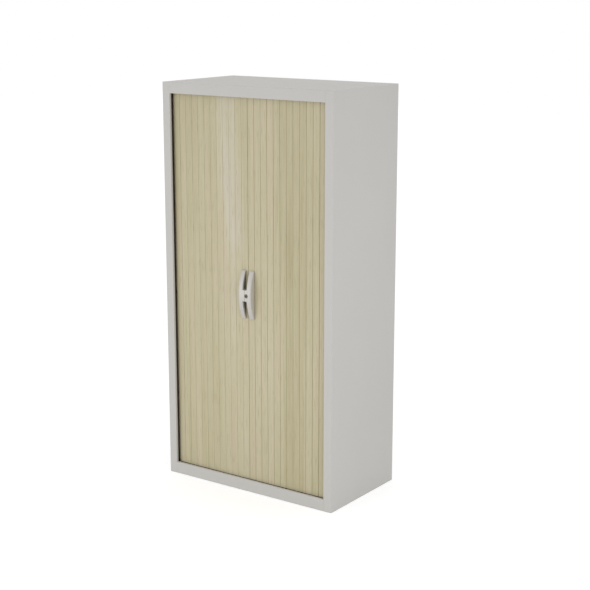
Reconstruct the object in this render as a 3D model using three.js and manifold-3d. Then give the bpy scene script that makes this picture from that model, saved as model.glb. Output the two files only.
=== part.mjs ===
// Tambour door cabinet: a painted steel cupboard with two curtains of upright slats.
// Each curtain parts from the middle, runs in grooves along the front, turns the front
// corner and is stored between the outer side panel and an inner liner.
// Millimetres, +Z up, the front faces -Y, the origin is under the middle of the whole part.
import * as THREE from "three";
import { mergeVertices } from "three/addons/utils/BufferGeometryUtils.js";
import Module from "manifold-3d";

const wasm = await Module();
wasm.setup();

// Overall sizes of the carcass
const width = 800;
const depth = 445;
const height = 1595;
const sheet = 1.2;
const linerSheet = 1;
const cutOverrun = 2;

// Front frame, which reads as one flush frame round the curtain
const stileWidth = 36;
const topRailHeight = 43;
const bottomRailHeight = 47;
const revealDepth = 12;
const railFoot = 20;
const frontCornerRadius = 4;
const rearCornerRadius = 2;

// Curtain slats, with a bead on one long edge and a socket on the other
const slatPitch = 30;
const slatRecess = 18;
const slatFaceOffset = 5;
const slatSkin = 1.7;
const slatWall = 1.2;
const slatSeam = 0.7;
const meetingGap = 1.5;
const beadRadius = 1.7;
const socketClearance = 0.35;
const socketWall = 0.95;
const socketMouthUp = 25;
const socketMouthDown = 65;
const socketShoulder = 135;
const slatEndClearance = 1.5;

// Grooved tracks that carry the slats at the floor and at the head
const pocketInset = 12;
const cornerRadius = 42;
const grooveClearance = 1;
const trackWall = 1.5;
const trackFloor = 2;
const trackDepth = 13.5;
const trackRearGap = 16;
const cornerSteps = 10;

// Base and head pans, back panel, liners
const panReturn = 14;
const panSideGap = 0.6;
const linerOffset = 8;
const linerLip = 16;
const linerHem = 12;
const swageWidth = 24;
const swageSpacing = 260;
const swageEndGap = 110;

// Slotted uprights and shelves
const uprightWidth = 24;
const uprightDepth = 9;
const uprightFrontInset = 92;
const uprightRearInset = 60;
const slotPitch = 64;
const slotHeight = 9;
const slotWidth = 13;
const slotFirst = 44;
const shelfSheet = 1;
const shelfLip = 26;
const shelfHem = 10;
const shelfFrontInset = 50;
const shelfRearGap = 6;
const shelfEndGap = 1.5;
const shelfCount = 3;
const lugWidth = 10;
const lugHeight = 6;
const lugReach = 6;
const lugRoot = 12;
const seatGap = 0.3;
const deckLip = 16;

// Bowed pulls, one on each leading slat, with half a lock housing each
const handleHeight = 195;
const handleBow = 27;
const handleTip = 8;
const handleInner = 9;
const handleOuter = 27.5;
const handleOuterTip = 25.5;
const handleRound = 2.4;
const handleScoop = 3.2;
const handleStations = 18;
const bossHeight = 45;
const bossGap = 0.4;
const bossRoot = 14;
const bossStations = 4;

// Hook lock in the housing
const lockX = 9;
const barrelRadius = 6;
const boreClearance = 0.3;
const barrelProud = 0.6;
const housingFront = 10;
const spindleRadius = 3;
const spindleClearance = 0.15;
const hookGap = 3;
const hookThickness = 2.2;
const hookHub = 5.2;
const hookReach = 18;
const hookHalfWidth = 5;
const keeperRadius = 1.5;
const keeperDistance = 14;
const keeperClearance = 0.45;
const keeperFree = 1;
const pocketClearance = 1.4;
const keySlotWidth = 1.4;
const keySlotHeight = 6;
const keySlotDepth = 5;
const roundSides = 28;

// Places worked out from the sizes above
const lockProjection = handleBow + barrelProud - slatRecess;
const frontY = (lockProjection - depth) / 2;
const backY = frontY + depth;
const sideX = width / 2;
const stileX = sideX - stileWidth;
const slatFaceY = frontY + slatRecess;
const pathY = slatFaceY + slatFaceOffset;
const pocketX = sideX - pocketInset;
const arcX = pocketX - cornerRadius;
const arcY = pathY + cornerRadius;
const innerOffset = -(beadRadius + socketClearance + socketWall);
const grooveInner = innerOffset - grooveClearance;
const grooveOuter = slatFaceOffset + grooveClearance;
const panFrontY = frontY + revealDepth;
const backPanelY = backY - sheet;
const panRearY = backPanelY - linerSheet;
const topUnderZ = height - sheet;
const panTopZ = bottomRailHeight - revealDepth;
const headUnderZ = height - topRailHeight + revealDepth;
const slatBottomZ = panTopZ + trackFloor + slatEndClearance;
const slatTopZ = headUnderZ - trackFloor - slatEndClearance;
const handleZ = height / 2;
const linerX = pocketX - linerOffset - linerSheet;
const uprightX = linerX - uprightDepth;
const deckZ = panTopZ + deckLip;
const curtainLength = arcX + (cornerRadius * Math.PI) / 2;
const slatCount = Math.ceil(curtainLength / slatPitch);
const trackEnd = curtainLength + (panRearY - trackRearGap - arcY);
const shelfX = uprightX - shelfEndGap;
const uprightTopZ = headUnderZ - seatGap;
const slotCount = Math.floor((uprightTopZ - deckZ - slotFirst) / slotPitch);

// Finishes
const paint = new THREE.MeshStandardMaterial({ color: 0xc4c3c0, roughness: 0.55, metalness: 0.1 });
const woodDecor = new THREE.MeshStandardMaterial({ color: 0xb8b291, roughness: 0.6, metalness: 0 });
const silver = new THREE.MeshStandardMaterial({ color: 0xcbc9c4, roughness: 0.4, metalness: 0.3 });
const trackPlastic = new THREE.MeshStandardMaterial({ color: 0x2a2621, roughness: 0.6, metalness: 0 });
const lockSteel = new THREE.MeshStandardMaterial({ color: 0x9a9a98, roughness: 0.3, metalness: 0.9 });

// Geometry to a solid that can be joined and cut, and back again
function solidOf(geometry) {
  const bare = geometry.clone();
  bare.deleteAttribute("normal");
  bare.deleteAttribute("uv");
  const merged = mergeVertices(bare, 1e-4);
  return new wasm.Manifold(
    new wasm.Mesh({
      numProp: 3,
      vertProperties: merged.attributes.position.array,
      triVerts: new Uint32Array(merged.index.array),
    }),
  );
}

function geometryOf(solid) {
  const made = solid.getMesh();
  const geometry = new THREE.BufferGeometry();
  geometry.setAttribute("position", new THREE.BufferAttribute(made.vertProperties, 3));
  geometry.setIndex(new THREE.BufferAttribute(made.triVerts, 1));
  return geometry;
}

function join(first, ...others) {
  const solid = others.reduce((whole, next) => whole.add(solidOf(next)), solidOf(first));
  return geometryOf(solid);
}

function cut(first, ...others) {
  const solid = others.reduce((whole, next) => whole.subtract(solidOf(next)), solidOf(first));
  return geometryOf(solid);
}

function block(x0, x1, y0, y1, z0, z1) {
  const box = new THREE.BoxGeometry(x1 - x0, y1 - y0, z1 - z0);
  return box.translate((x0 + x1) / 2, (y0 + y1) / 2, (z0 + z1) / 2);
}

// A rod along Y, from y0 back to y1
function rodAlongY(radius, x, z, y0, y1) {
  const rod = new THREE.CylinderGeometry(radius, radius, y1 - y0, roundSides);
  return rod.translate(x, (y0 + y1) / 2, z);
}

// An upright extrusion of an outline drawn in plan
function extrudeUp(shape, z0, z1) {
  const made = new THREE.ExtrudeGeometry(shape, { depth: z1 - z0, bevelEnabled: false });
  return made.translate(0, 0, z0);
}

// An extrusion along X of an outline drawn as Y and Z
function extrudeAcross(shape, x0, x1) {
  const made = new THREE.ExtrudeGeometry(shape, { depth: x1 - x0, bevelEnabled: false });
  const turn = new THREE.Matrix4().makeBasis(
    new THREE.Vector3(0, 1, 0),
    new THREE.Vector3(0, 0, 1),
    new THREE.Vector3(1, 0, 0),
  );
  return made.applyMatrix4(turn).translate(x0, 0, 0);
}

// An extrusion along Y of an outline drawn as X and Z
function extrudeBack(shape, y0, y1) {
  const made = new THREE.ExtrudeGeometry(shape, { depth: y1 - y0, bevelEnabled: false });
  return made.rotateX(Math.PI / 2).translate(0, y1, 0);
}

// Rounds the inner points of an open run of [x, y, radius] points with arcs
function roundedRun(points, steps = 4) {
  const run = [];
  points.forEach(([x, y, radius = 0], i) => {
    const here = new THREE.Vector2(x, y);
    if (!radius || i === 0 || i === points.length - 1) {
      run.push(here);
      return;
    }
    const before = new THREE.Vector2(points[i - 1][0], points[i - 1][1]).sub(here).normalize();
    const after = new THREE.Vector2(points[i + 1][0], points[i + 1][1]).sub(here).normalize();
    const half = Math.acos(before.dot(after)) / 2;
    const centre = before.clone().add(after).normalize().multiplyScalar(radius / Math.sin(half)).add(here);
    const from = before.clone().multiplyScalar(radius / Math.tan(half)).add(here).sub(centre);
    const to = after.clone().multiplyScalar(radius / Math.tan(half)).add(here).sub(centre);
    const sweep = Math.atan2(from.x * to.y - from.y * to.x, from.dot(to));
    for (let k = 0; k <= steps; k++) {
      const turned = from.clone().rotateAround(new THREE.Vector2(), (sweep * k) / steps);
      run.push(turned.add(centre));
    }
  });
  return run;
}

// The section of a folded sheet: the run is its outer face, and the thickness lies to the left
function foldedSheet(run, thickness) {
  const inner = run.map((here, i) => {
    const into = run[Math.max(i, 1)].clone().sub(run[Math.max(i, 1) - 1]).normalize();
    const next = Math.min(i, run.length - 2);
    const out = run[next + 1].clone().sub(run[next]).normalize();
    const normal = new THREE.Vector2(-into.y - out.y, into.x + out.x).normalize();
    const stretch = thickness / Math.max(normal.dot(new THREE.Vector2(-into.y, into.x)), 0.1);
    return here.clone().add(normal.multiplyScalar(stretch));
  });
  return new THREE.Shape([...run, ...inner.reverse()]);
}

// The curtain's path: along the front, round the corner, back along the side.
// It gives the point at a distance along it, and the angle that the path has turned by.
function onPath(distance) {
  const arcLength = (cornerRadius * Math.PI) / 2;
  if (distance <= arcX) return { x: distance, y: pathY, turn: 0 };
  if (distance >= arcX + arcLength) {
    return { x: pocketX, y: arcY + distance - arcX - arcLength, turn: Math.PI / 2 };
  }
  const turn = (distance - arcX) / cornerRadius;
  return { x: arcX + cornerRadius * Math.sin(turn), y: arcY - cornerRadius * Math.cos(turn), turn };
}

// The point beside the path, with a positive offset towards the outside of the cabinet
function besidePath(distance, offset) {
  const { x, y, turn } = onPath(distance);
  return new THREE.Vector2(x + offset * Math.sin(turn), y - offset * Math.cos(turn));
}

// The next hinge line of the curtain: one slat pitch away in a straight line, further along
function nextHinge(distance) {
  const from = onPath(distance);
  let near = distance + slatPitch / 2;
  let far = distance + slatPitch * 1.5;
  for (let k = 0; k < 40; k++) {
    const middle = (near + far) / 2;
    const to = onPath(middle);
    if (Math.hypot(to.x - from.x, to.y - from.y) < slatPitch) near = middle;
    else far = middle;
  }
  return (near + far) / 2;
}

// Stations along the path between two distances, close together only round the corner
function pathStations(from, to) {
  const arcLength = (cornerRadius * Math.PI) / 2;
  const inner = [];
  for (let k = 0; k <= cornerSteps; k++) inner.push(arcX + (arcLength * k) / cornerSteps);
  return [from, ...inner.filter((s) => s > from && s < to), to];
}

// Points of an arc about a centre, from one angle to another in degrees
function arcPoints(x, y, radius, from, to, steps) {
  const points = [];
  for (let k = 0; k <= steps; k++) {
    const angle = THREE.MathUtils.degToRad(from + ((to - from) * k) / steps);
    points.push(new THREE.Vector2(x + radius * Math.cos(angle), y + radius * Math.sin(angle)));
  }
  return points;
}

// Slat sections. Along the curtain is x, from the slat's own hinge line at zero to the next
// slat's hinge line at one pitch, and y is towards the face.
const socketInner = beadRadius + socketClearance;
const socketOuter = socketInner + socketWall;
const slatFaceBack = slatFaceOffset - slatSkin;
const wallHalf = slatWall / 2;
const webX = socketOuter + grooveClearance;
const seamHalf = slatSeam / 2;

// The trailing edge: the end of the face, then round the socket and back to the rear wall
function socketEdge() {
  const shoulder = arcPoints(slatPitch, 0, socketOuter, socketShoulder, socketMouthUp, 4);
  const bore = arcPoints(slatPitch, 0, socketInner, socketMouthUp, 360 - socketMouthDown, 10);
  const rearAngle = 180 + THREE.MathUtils.radToDeg(Math.asin(wallHalf / socketOuter));
  const rear = arcPoints(slatPitch, 0, socketOuter, 360 - socketMouthDown, rearAngle, 4);
  return [
    new THREE.Vector2(slatPitch - seamHalf, slatFaceOffset),
    new THREE.Vector2(slatPitch - seamHalf, slatFaceBack),
    new THREE.Vector2(shoulder[0].x, slatFaceBack),
    ...shoulder,
    ...bore,
    ...rear,
  ];
}

// A slat's outline pulled up to full height, with two hollow chambers and a rib between them
function makeSlat(shape, from) {
  const middle = slatPitch / 2;
  const end = slatPitch - webX - wallHalf;
  const low = slatBottomZ - cutOverrun;
  const high = slatTopZ + cutOverrun;
  return cut(
    extrudeUp(shape, slatBottomZ, slatTopZ),
    block(from + slatWall, middle - wallHalf, wallHalf, slatFaceBack, low, high),
    block(middle + wallHalf, end, wallHalf, slatFaceBack, low, high),
  );
}

function slatSection() {
  const neckAngle = THREE.MathUtils.radToDeg(Math.asin(wallHalf / beadRadius));
  const bead = arcPoints(0, 0, beadRadius, 360 - neckAngle, neckAngle, 9);
  return new THREE.Shape([
    new THREE.Vector2(seamHalf, slatFaceOffset),
    ...socketEdge(),
    ...bead,
    new THREE.Vector2(webX, wallHalf),
    new THREE.Vector2(webX, slatFaceBack),
    new THREE.Vector2(seamHalf, slatFaceBack),
  ]);
}

// The leading slat is closed at the meeting edge instead of carrying a bead
function leadSection() {
  return new THREE.Shape([
    new THREE.Vector2(meetingGap / 2, slatFaceOffset),
    ...socketEdge(),
    new THREE.Vector2(meetingGap / 2, -wallHalf),
  ]);
}

// One curtain, from the leading slat at the middle to the tail round the corner
function makeCurtain(side) {
  const curtain = new THREE.Group();
  const lead = makeSlat(leadSection(), meetingGap / 2);
  const follower = makeSlat(slatSection(), webX);
  let distance = 0;
  for (let k = 0; k < slatCount; k++) {
    const after = nextHinge(distance);
    const here = onPath(distance);
    const there = onPath(after);
    const slat = new THREE.Mesh(k ? follower : lead, woodDecor);
    slat.name = k ? side + "_slat_" + String(k + 1).padStart(2, "0") : side + "_lead_slat";
    // The section is drawn with its face up the page, and the face looks outwards on the path
    slat.scale.y = -1;
    slat.position.set(here.x, here.y, 0);
    slat.rotation.z = Math.atan2(there.y - here.y, there.x - here.x);
    curtain.add(slat);
    distance = after;
  }
  return curtain;
}

// A closed skin over a row of rings, each with the same number of points, capped at both ends
function loft(rings) {
  const count = rings[0].length;
  const positions = rings.flat().flatMap((p) => [p.x, p.y, p.z]);
  const index = [];
  for (let r = 0; r + 1 < rings.length; r++) {
    for (let k = 0; k < count; k++) {
      const a = r * count + k;
      const b = r * count + ((k + 1) % count);
      index.push(a, b, b + count, a, b + count, a + count);
    }
  }
  const last = (rings.length - 1) * count;
  const along = rings[1][0].clone().sub(rings[0][0]).normalize();
  const across = rings[0][1].clone().sub(rings[0][0]).normalize();
  const aside = along.clone().cross(across);
  const flat = rings[0].map((p) => new THREE.Vector2(p.dot(across), p.dot(aside)));
  const ringRuns = Math.sign(THREE.ShapeUtils.area(flat));
  for (const [a, b, c] of THREE.ShapeUtils.triangulateShape(flat, [])) {
    const same = Math.sign(THREE.ShapeUtils.area([flat[a], flat[b], flat[c]])) === ringRuns;
    const [second, third] = same ? [b, c] : [c, b];
    index.push(a, third, second);
    index.push(last + a, last + second, last + third);
  }
  const geometry = new THREE.BufferGeometry();
  geometry.setAttribute("position", new THREE.Float32BufferAttribute(positions, 3));
  geometry.setIndex(index);
  return geometry;
}

// A solid loft always faces out: a negative volume means that its rings ran the other way
function facingOut(geometry) {
  const solid = solidOf(geometry);
  if (solid.volume() > 0) return geometry;
  const turned = geometry.clone();
  const order = turned.index.array;
  for (let k = 0; k < order.length; k += 3) [order[k + 1], order[k + 2]] = [order[k + 2], order[k + 1]];
  return turned;
}

// A channel with a floor and two walls, swept along the curtain's path.
// Floor is the level of its underside, and up is 1 for a groove that opens upwards, else -1.
function makeTrack(name, floor, up) {
  const outer = grooveOuter + trackWall;
  const inner = grooveInner - trackWall;
  const section = [
    [outer, 0],
    [outer, trackDepth],
    [grooveOuter, trackDepth],
    [grooveOuter, trackFloor],
    [grooveInner, trackFloor],
    [grooveInner, trackDepth],
    [inner, trackDepth],
    [inner, 0],
  ];
  const rings = pathStations(0, trackEnd).map((distance) =>
    section.map(([offset, rise]) => {
      const p = besidePath(distance, offset);
      return new THREE.Vector3(p.x, p.y, floor + up * rise);
    }),
  );
  return named(name, facingOut(loft(rings)), trackPlastic);
}

function named(name, geometry, material) {
  const mesh = new THREE.Mesh(geometry, material);
  mesh.name = name;
  return mesh;
}

// Outer side panel: the stile's return, the stile, the side and the rear flange in one sheet
function makeSidePanel(side) {
  const run = roundedRun([
    [stileX, panFrontY],
    [stileX, frontY],
    [sideX, frontY, frontCornerRadius],
    [sideX, backY, rearCornerRadius],
    [stileX, backY],
  ]);
  return named(side + "_side_panel", extrudeUp(foldedSheet(run, sheet), 0, topUnderZ), paint);
}

// Inner liner: it follows the curtain at a distance, and ends in a lip with a hem in front
function makeLiner(side) {
  const offset = -linerOffset;
  const corner = pathStations(arcX, curtainLength).map((s) => besidePath(s, offset));
  const lipX = arcX - linerLip;
  const lipY = corner[0].y;
  const run = [
    new THREE.Vector2(lipX, lipY + linerHem),
    new THREE.Vector2(lipX, lipY),
    ...corner,
    new THREE.Vector2(corner[corner.length - 1].x, panRearY - seatGap),
  ];
  const plan = foldedSheet(run, linerSheet);
  return named(side + "_liner", extrudeUp(plan, panTopZ, headUnderZ), paint);
}

// Slotted upright that the shelves hook into
function makeUpright(name, middleY) {
  const front = middleY - uprightWidth / 2;
  const rear = middleY + uprightWidth / 2;
  const run = [
    new THREE.Vector2(linerX, front),
    new THREE.Vector2(uprightX, front),
    new THREE.Vector2(uprightX, rear),
    new THREE.Vector2(linerX, rear),
  ];
  const section = foldedSheet(run.reverse(), sheet);
  const channel = extrudeUp(section, deckZ + seatGap, uprightTopZ);
  const slots = [];
  for (let k = 0; k < slotCount; k++) {
    const low = slotBottomZ(k);
    slots.push(
      block(
        uprightX - cutOverrun,
        uprightX + sheet + cutOverrun,
        middleY - slotWidth / 2,
        middleY + slotWidth / 2,
        low,
        low + slotHeight,
      ),
    );
  }
  return named(name, cut(channel, ...slots), paint);
}

function slotBottomZ(k) {
  return deckZ + slotFirst + k * slotPitch;
}

// A shelf: a tray with folded lips in front and behind, hooked into the uprights by four lugs
function shelfSection(front, rear, top, lip) {
  return foldedSheet(
    [
      new THREE.Vector2(front + shelfHem, top - lip),
      new THREE.Vector2(front, top - lip),
      new THREE.Vector2(front, top),
      new THREE.Vector2(rear, top),
      new THREE.Vector2(rear, top - lip),
      new THREE.Vector2(rear - shelfHem, top - lip),
    ].reverse(),
    shelfSheet,
  );
}

const shelfFrontY = frontY + shelfFrontInset;
const shelfRearY = panRearY - shelfRearGap;
const uprightFrontY = frontY + uprightFrontInset;
const uprightRearY = backY - uprightRearInset;

function makeShelf(name, slot) {
  const low = slotBottomZ(slot) + seatGap;
  const top = low + lugHeight;
  const tray = extrudeAcross(shelfSection(shelfFrontY, shelfRearY, top, shelfLip), -shelfX, shelfX);
  const lugs = [];
  for (const middleY of [uprightFrontY, uprightRearY]) {
    for (const side of [-1, 1]) {
      const root = side * (shelfX - lugRoot);
      const tip = side * (shelfX + lugReach);
      lugs.push(
        block(
          Math.min(root, tip),
          Math.max(root, tip),
          middleY - lugWidth / 2,
          middleY + lugWidth / 2,
          low,
          top - shelfSheet / 2,
        ),
      );
    }
  }
  return named(name, join(tray, ...lugs), paint);
}

// The fixed bottom shelf stands on the base pan
function makeDeck() {
  const section = shelfSection(shelfFrontY, shelfRearY, deckZ, deckLip);
  return named("bottom_shelf", extrudeAcross(section, -shelfX, shelfX), paint);
}

// Top panel with the top rail folded down in front and a flange behind
function makeTopPanel() {
  const run = [
    new THREE.Vector2(panFrontY, headUnderZ),
    new THREE.Vector2(panFrontY, height - topRailHeight),
    new THREE.Vector2(frontY, height - topRailHeight),
    new THREE.Vector2(frontY, height),
    new THREE.Vector2(backY, height),
    new THREE.Vector2(backY, headUnderZ),
  ];
  const folded = extrudeAcross(foldedSheet(run.reverse(), sheet), -stileX, stileX);
  const plate = block(-sideX, sideX, frontY, backY, topUnderZ, height);
  return named("top_panel", join(folded, plate), paint);
}

// Bottom rail: the foot on the floor, the face, the lip under the curtain and its fold
function makeBottomRail() {
  const run = [
    new THREE.Vector2(frontY + railFoot, 0),
    new THREE.Vector2(frontY, 0),
    new THREE.Vector2(frontY, bottomRailHeight),
    new THREE.Vector2(panFrontY, bottomRailHeight),
    new THREE.Vector2(panFrontY, panTopZ - sheet),
  ];
  const section = foldedSheet(run.reverse(), sheet);
  return named("bottom_rail", extrudeAcross(section, -stileX, stileX), paint);
}

// A pan across the cabinet, with folded sides that reach from its face to a far level
function makePan(name, face, far) {
  const edge = sideX - sheet - panSideGap;
  const run = [
    new THREE.Vector2(-edge + panReturn, far),
    new THREE.Vector2(-edge, far),
    new THREE.Vector2(-edge, face),
    new THREE.Vector2(edge, face),
    new THREE.Vector2(edge, far),
    new THREE.Vector2(edge - panReturn, far),
  ];
  if (face > far) run.reverse();
  return named(name, extrudeBack(foldedSheet(run, sheet), panFrontY, panRearY), paint);
}

// Back panel inside the rear flanges, stiffened by upright swages pressed outwards
function makeBackPanel() {
  const edge = sideX - rearCornerRadius - seatGap;
  const low = swageEndGap;
  const high = topUnderZ - swageEndGap;
  let panel = block(-edge, edge, panRearY, backPanelY, 0, topUnderZ);
  for (const middle of [-swageSpacing / 2, swageSpacing / 2]) {
    const half = swageWidth / 2;
    const hollow = half - linerSheet;
    const rise = block(middle - half, middle + half, panRearY, backPanelY + sheet, low, high);
    const press = block(
      middle - hollow,
      middle + hollow,
      panRearY - cutOverrun,
      panRearY + sheet,
      low + linerSheet,
      high - linerSheet,
    );
    panel = cut(join(panel, rise), press);
  }
  return named("back_panel", panel, paint);
}

// How far a pull stands in front of the slats at a height from its middle: an arc's bow
function bowAt(rise) {
  const half = handleHeight / 2;
  const sag = handleBow - handleTip;
  const radius = (half * half + sag * sag) / (2 * sag);
  return handleBow - radius + Math.sqrt(radius * radius - rise * rise);
}

// One ring of a pull: its outer side, its crowned front, and its inner side, scooped for fingers
function pullRing(rise) {
  const share = Math.abs(rise) / (handleHeight / 2);
  const bow = bowAt(rise);
  const outer = handleOuter + (handleOuterTip - handleOuter) * share * share;
  const scoop = handleScoop * (1 - share * share);
  const edge = handleRound;
  const soft = edge * 0.3;
  const section = [
    [outer, 0],
    [outer, bow - edge],
    [outer - soft, bow - soft],
    [outer - edge, bow],
    [handleInner + edge, bow],
    [handleInner + soft, bow - soft],
    [handleInner, bow - edge],
    [handleInner + scoop * 0.75, bow * 0.66],
    [handleInner + scoop, bow * 0.36],
    [handleInner + scoop * 0.75, bow * 0.12],
    [handleInner + scoop * 0.5, 0],
  ];
  return section.map(([x, ahead]) => new THREE.Vector3(x, slatFaceY - ahead, handleZ + rise));
}

// A pull with its half of the lock housing, drawn for the right-hand leaf
function pullBody() {
  const rings = [];
  for (let k = 0; k <= handleStations; k++) {
    rings.push(pullRing(handleHeight * (k / handleStations - 1 / 2)));
  }
  const bossRings = [];
  for (let k = 0; k <= bossStations; k++) {
    const rise = bossHeight * (k / bossStations - 1 / 2);
    const face = slatFaceY - bowAt(rise);
    bossRings.push([
      new THREE.Vector3(bossRoot, slatFaceY, handleZ + rise),
      new THREE.Vector3(bossRoot, face, handleZ + rise),
      new THREE.Vector3(bossGap, face, handleZ + rise),
      new THREE.Vector3(bossGap, slatFaceY, handleZ + rise),
    ]);
  }
  return join(facingOut(loft(rings)), facingOut(loft(bossRings)));
}

// The pocket that the hook swings in runs through both halves of the housing.
// It is open at the back, where the leading slat closes it.
const housingY = slatFaceY - handleBow + housingFront;
const pocketLowZ = handleZ - hookReach - pocketClearance;
const pocketHighZ = handleZ + hookHub + pocketClearance;

function makePull(side) {
  const right = side === "right";
  const reach = right ? lockX + hookHub + pocketClearance : hookReach - lockX + pocketClearance;
  const pocket = block(
    bossGap - cutOverrun,
    reach,
    housingY,
    slatFaceY + cutOverrun,
    pocketLowZ,
    pocketHighZ,
  );
  const bore = rodAlongY(
    barrelRadius + boreClearance,
    lockX,
    handleZ,
    slatFaceY - handleBow - cutOverrun,
    housingY + cutOverrun,
  );
  const body = right ? cut(pullBody(), pocket, bore) : cut(pullBody(), pocket);
  return named(side + "_pull", body, silver);
}

// Lock barrel with its key slot and the spindle that carries the hook
const hookFrontY = housingY + hookGap;
const hookRearY = hookFrontY + hookThickness;

function makeBarrel() {
  const faceY = slatFaceY - handleBow - barrelProud;
  const drum = rodAlongY(barrelRadius, lockX, handleZ, faceY, hookFrontY - seatGap);
  const spindle = rodAlongY(spindleRadius, lockX, handleZ, hookFrontY - hookGap, hookRearY + seatGap);
  const key = block(
    lockX - keySlotWidth / 2,
    lockX + keySlotWidth / 2,
    faceY - cutOverrun,
    faceY + keySlotDepth,
    handleZ - keySlotHeight / 2,
    handleZ + keySlotHeight / 2,
  );
  return named("lock_barrel", cut(join(drum, spindle), key), lockSteel);
}

// Hook plate: a hub, an arm that hangs down when unlocked, and a notch that takes the keeper
function makeHook() {
  const across = (radius, offset) => THREE.MathUtils.radToDeg(Math.asin(offset / radius));
  const notchOut = keeperDistance + keeperRadius + keeperClearance;
  const notchIn = keeperDistance - keeperRadius - keeperClearance;
  const notchEnd = across(keeperDistance, keeperRadius + keeperClearance);
  const hubAngle = across(hookHub, hookHalfWidth);
  const tip = across(hookReach, hookHalfWidth);
  const polar = (radius, from, to, steps) => arcPoints(0, 0, radius, from, to, steps);
  const outline = [
    ...polar(hookHub, hubAngle, 360 - hubAngle, 12),
    ...polar(hookReach, -tip, tip, 4),
    ...polar(notchOut, across(notchOut, hookHalfWidth), -notchEnd, 4),
    ...polar(notchIn, -notchEnd, across(notchIn, hookHalfWidth), 4),
  ];
  // In the outline the arm lies along x; here it hangs down, and its notch faces the other leaf
  const hung = outline.map((p) => new THREE.Vector2(lockX - p.y, handleZ - p.x));
  const shape = new THREE.Shape(hung);
  const plate = extrudeBack(shape, hookFrontY, hookRearY);
  const eye = rodAlongY(
    spindleRadius + spindleClearance,
    lockX,
    handleZ,
    hookFrontY - cutOverrun,
    hookRearY + cutOverrun,
  );
  return named("lock_hook", cut(plate, eye), lockSteel);
}

// Keeper pin in the left half of the housing
function makeKeeper() {
  const x = lockX - keeperDistance;
  const pin = rodAlongY(keeperRadius, x, handleZ, housingY, slatFaceY - keeperFree);
  return named("keeper_pin", pin, lockSteel);
}

// What is alike on both sides is made for the right and mirrored for the left
function makeSide(side) {
  const half = new THREE.Group();
  half.add(makeSidePanel(side));
  half.add(makeLiner(side));
  half.add(makeUpright(side + "_front_upright", uprightFrontY));
  half.add(makeUpright(side + "_rear_upright", uprightRearY));
  half.add(makeTrack(side + "_bottom_track", panTopZ, 1));
  half.add(makeTrack(side + "_top_track", headUnderZ, -1));
  half.add(makeCurtain(side));
  half.add(makePull(side));
  if (side === "left") half.scale.x = -1;
  return half;
}

// Shelves stand at even steps of slots between the deck and the head
function makeShelves() {
  const shelves = new THREE.Group();
  for (let k = 0; k < shelfCount; k++) {
    const slot = Math.round(((k + 1) * slotCount) / (shelfCount + 1)) - 1;
    shelves.add(makeShelf("shelf_" + (k + 1), slot));
  }
  return shelves;
}

function makeCabinet() {
  const cabinet = new THREE.Group();
  cabinet.add(makeSide("left"));
  cabinet.add(makeSide("right"));
  cabinet.add(makeTopPanel());
  cabinet.add(makeBottomRail());
  cabinet.add(makePan("base_pan", panTopZ, 0));
  cabinet.add(makePan("head_pan", headUnderZ, topUnderZ));
  cabinet.add(makeBackPanel());
  cabinet.add(makeDeck());
  cabinet.add(makeShelves());
  cabinet.add(makeBarrel());
  cabinet.add(makeHook());
  cabinet.add(makeKeeper());
  return cabinet;
}

export default makeCabinet();
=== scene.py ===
"""Tambour door cabinet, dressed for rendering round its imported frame.

Each class below rebuilds one sub-assembly with the bends, edges and small fasteners that show,
at the places that the frame gives. Sizes are in millimetres until a mesh is made.
The right-hand pieces are drawn and the left-hand ones are their mirror image.
"""

from __future__ import annotations

import logging
import math
from collections.abc import Iterable, Sequence
from dataclasses import dataclass, field
from enum import Enum
from typing import Any

import bmesh
import bpy
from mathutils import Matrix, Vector

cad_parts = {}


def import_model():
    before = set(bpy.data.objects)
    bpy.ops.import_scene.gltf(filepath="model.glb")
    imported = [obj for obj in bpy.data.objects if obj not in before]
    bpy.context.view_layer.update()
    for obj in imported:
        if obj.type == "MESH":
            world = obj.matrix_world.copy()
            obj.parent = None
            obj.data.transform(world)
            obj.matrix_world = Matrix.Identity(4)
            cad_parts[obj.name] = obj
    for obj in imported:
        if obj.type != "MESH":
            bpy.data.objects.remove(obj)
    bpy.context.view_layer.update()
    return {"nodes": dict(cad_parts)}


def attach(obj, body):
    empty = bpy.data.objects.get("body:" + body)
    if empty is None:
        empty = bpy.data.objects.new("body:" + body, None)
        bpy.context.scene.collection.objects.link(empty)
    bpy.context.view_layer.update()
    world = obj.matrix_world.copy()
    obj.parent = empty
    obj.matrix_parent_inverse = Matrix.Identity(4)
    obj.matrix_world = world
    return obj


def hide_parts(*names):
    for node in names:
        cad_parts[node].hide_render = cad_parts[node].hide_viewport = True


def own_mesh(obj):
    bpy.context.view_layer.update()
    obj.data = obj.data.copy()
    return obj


LOG = logging.getLogger("cabinet")

# In metres: a millimetre, and the distance under which two corners are one
MM = 0.001
HAIR = 1e-6

# A rounded edge has this many chords, and stays smooth up to this many degrees more
EDGE_SEGMENTS = 2
EDGE_SLACK = 30.0

# How much the large faces lead the normals, and the least share of a fold's wall that is kept
FACE_WEIGHT = 80
LEAST_COSINE = 0.2

# Most of a noise lies between these two values
NOISE_LOW = 0.3
NOISE_HIGH = 0.7

Flat = tuple[float, float]
Point = tuple[float, float, float]
Rgb = tuple[float, float, float]
Piece = bpy.types.Object
Socket = bpy.types.NodeSocket


class Side(Enum):
    """A hand of the cabinet, with the sign of its X."""

    LEFT = -1
    RIGHT = 1

    @property
    def word(self) -> str:
        """The hand as it stands in the names of pieces and nodes."""
        return self.name.lower()


class Way(Enum):
    """The way in which an outline is pulled out."""

    UP = "plan outline of x and y, pulled along z"
    ACROSS = "outline of y and z, pulled along x"


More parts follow.
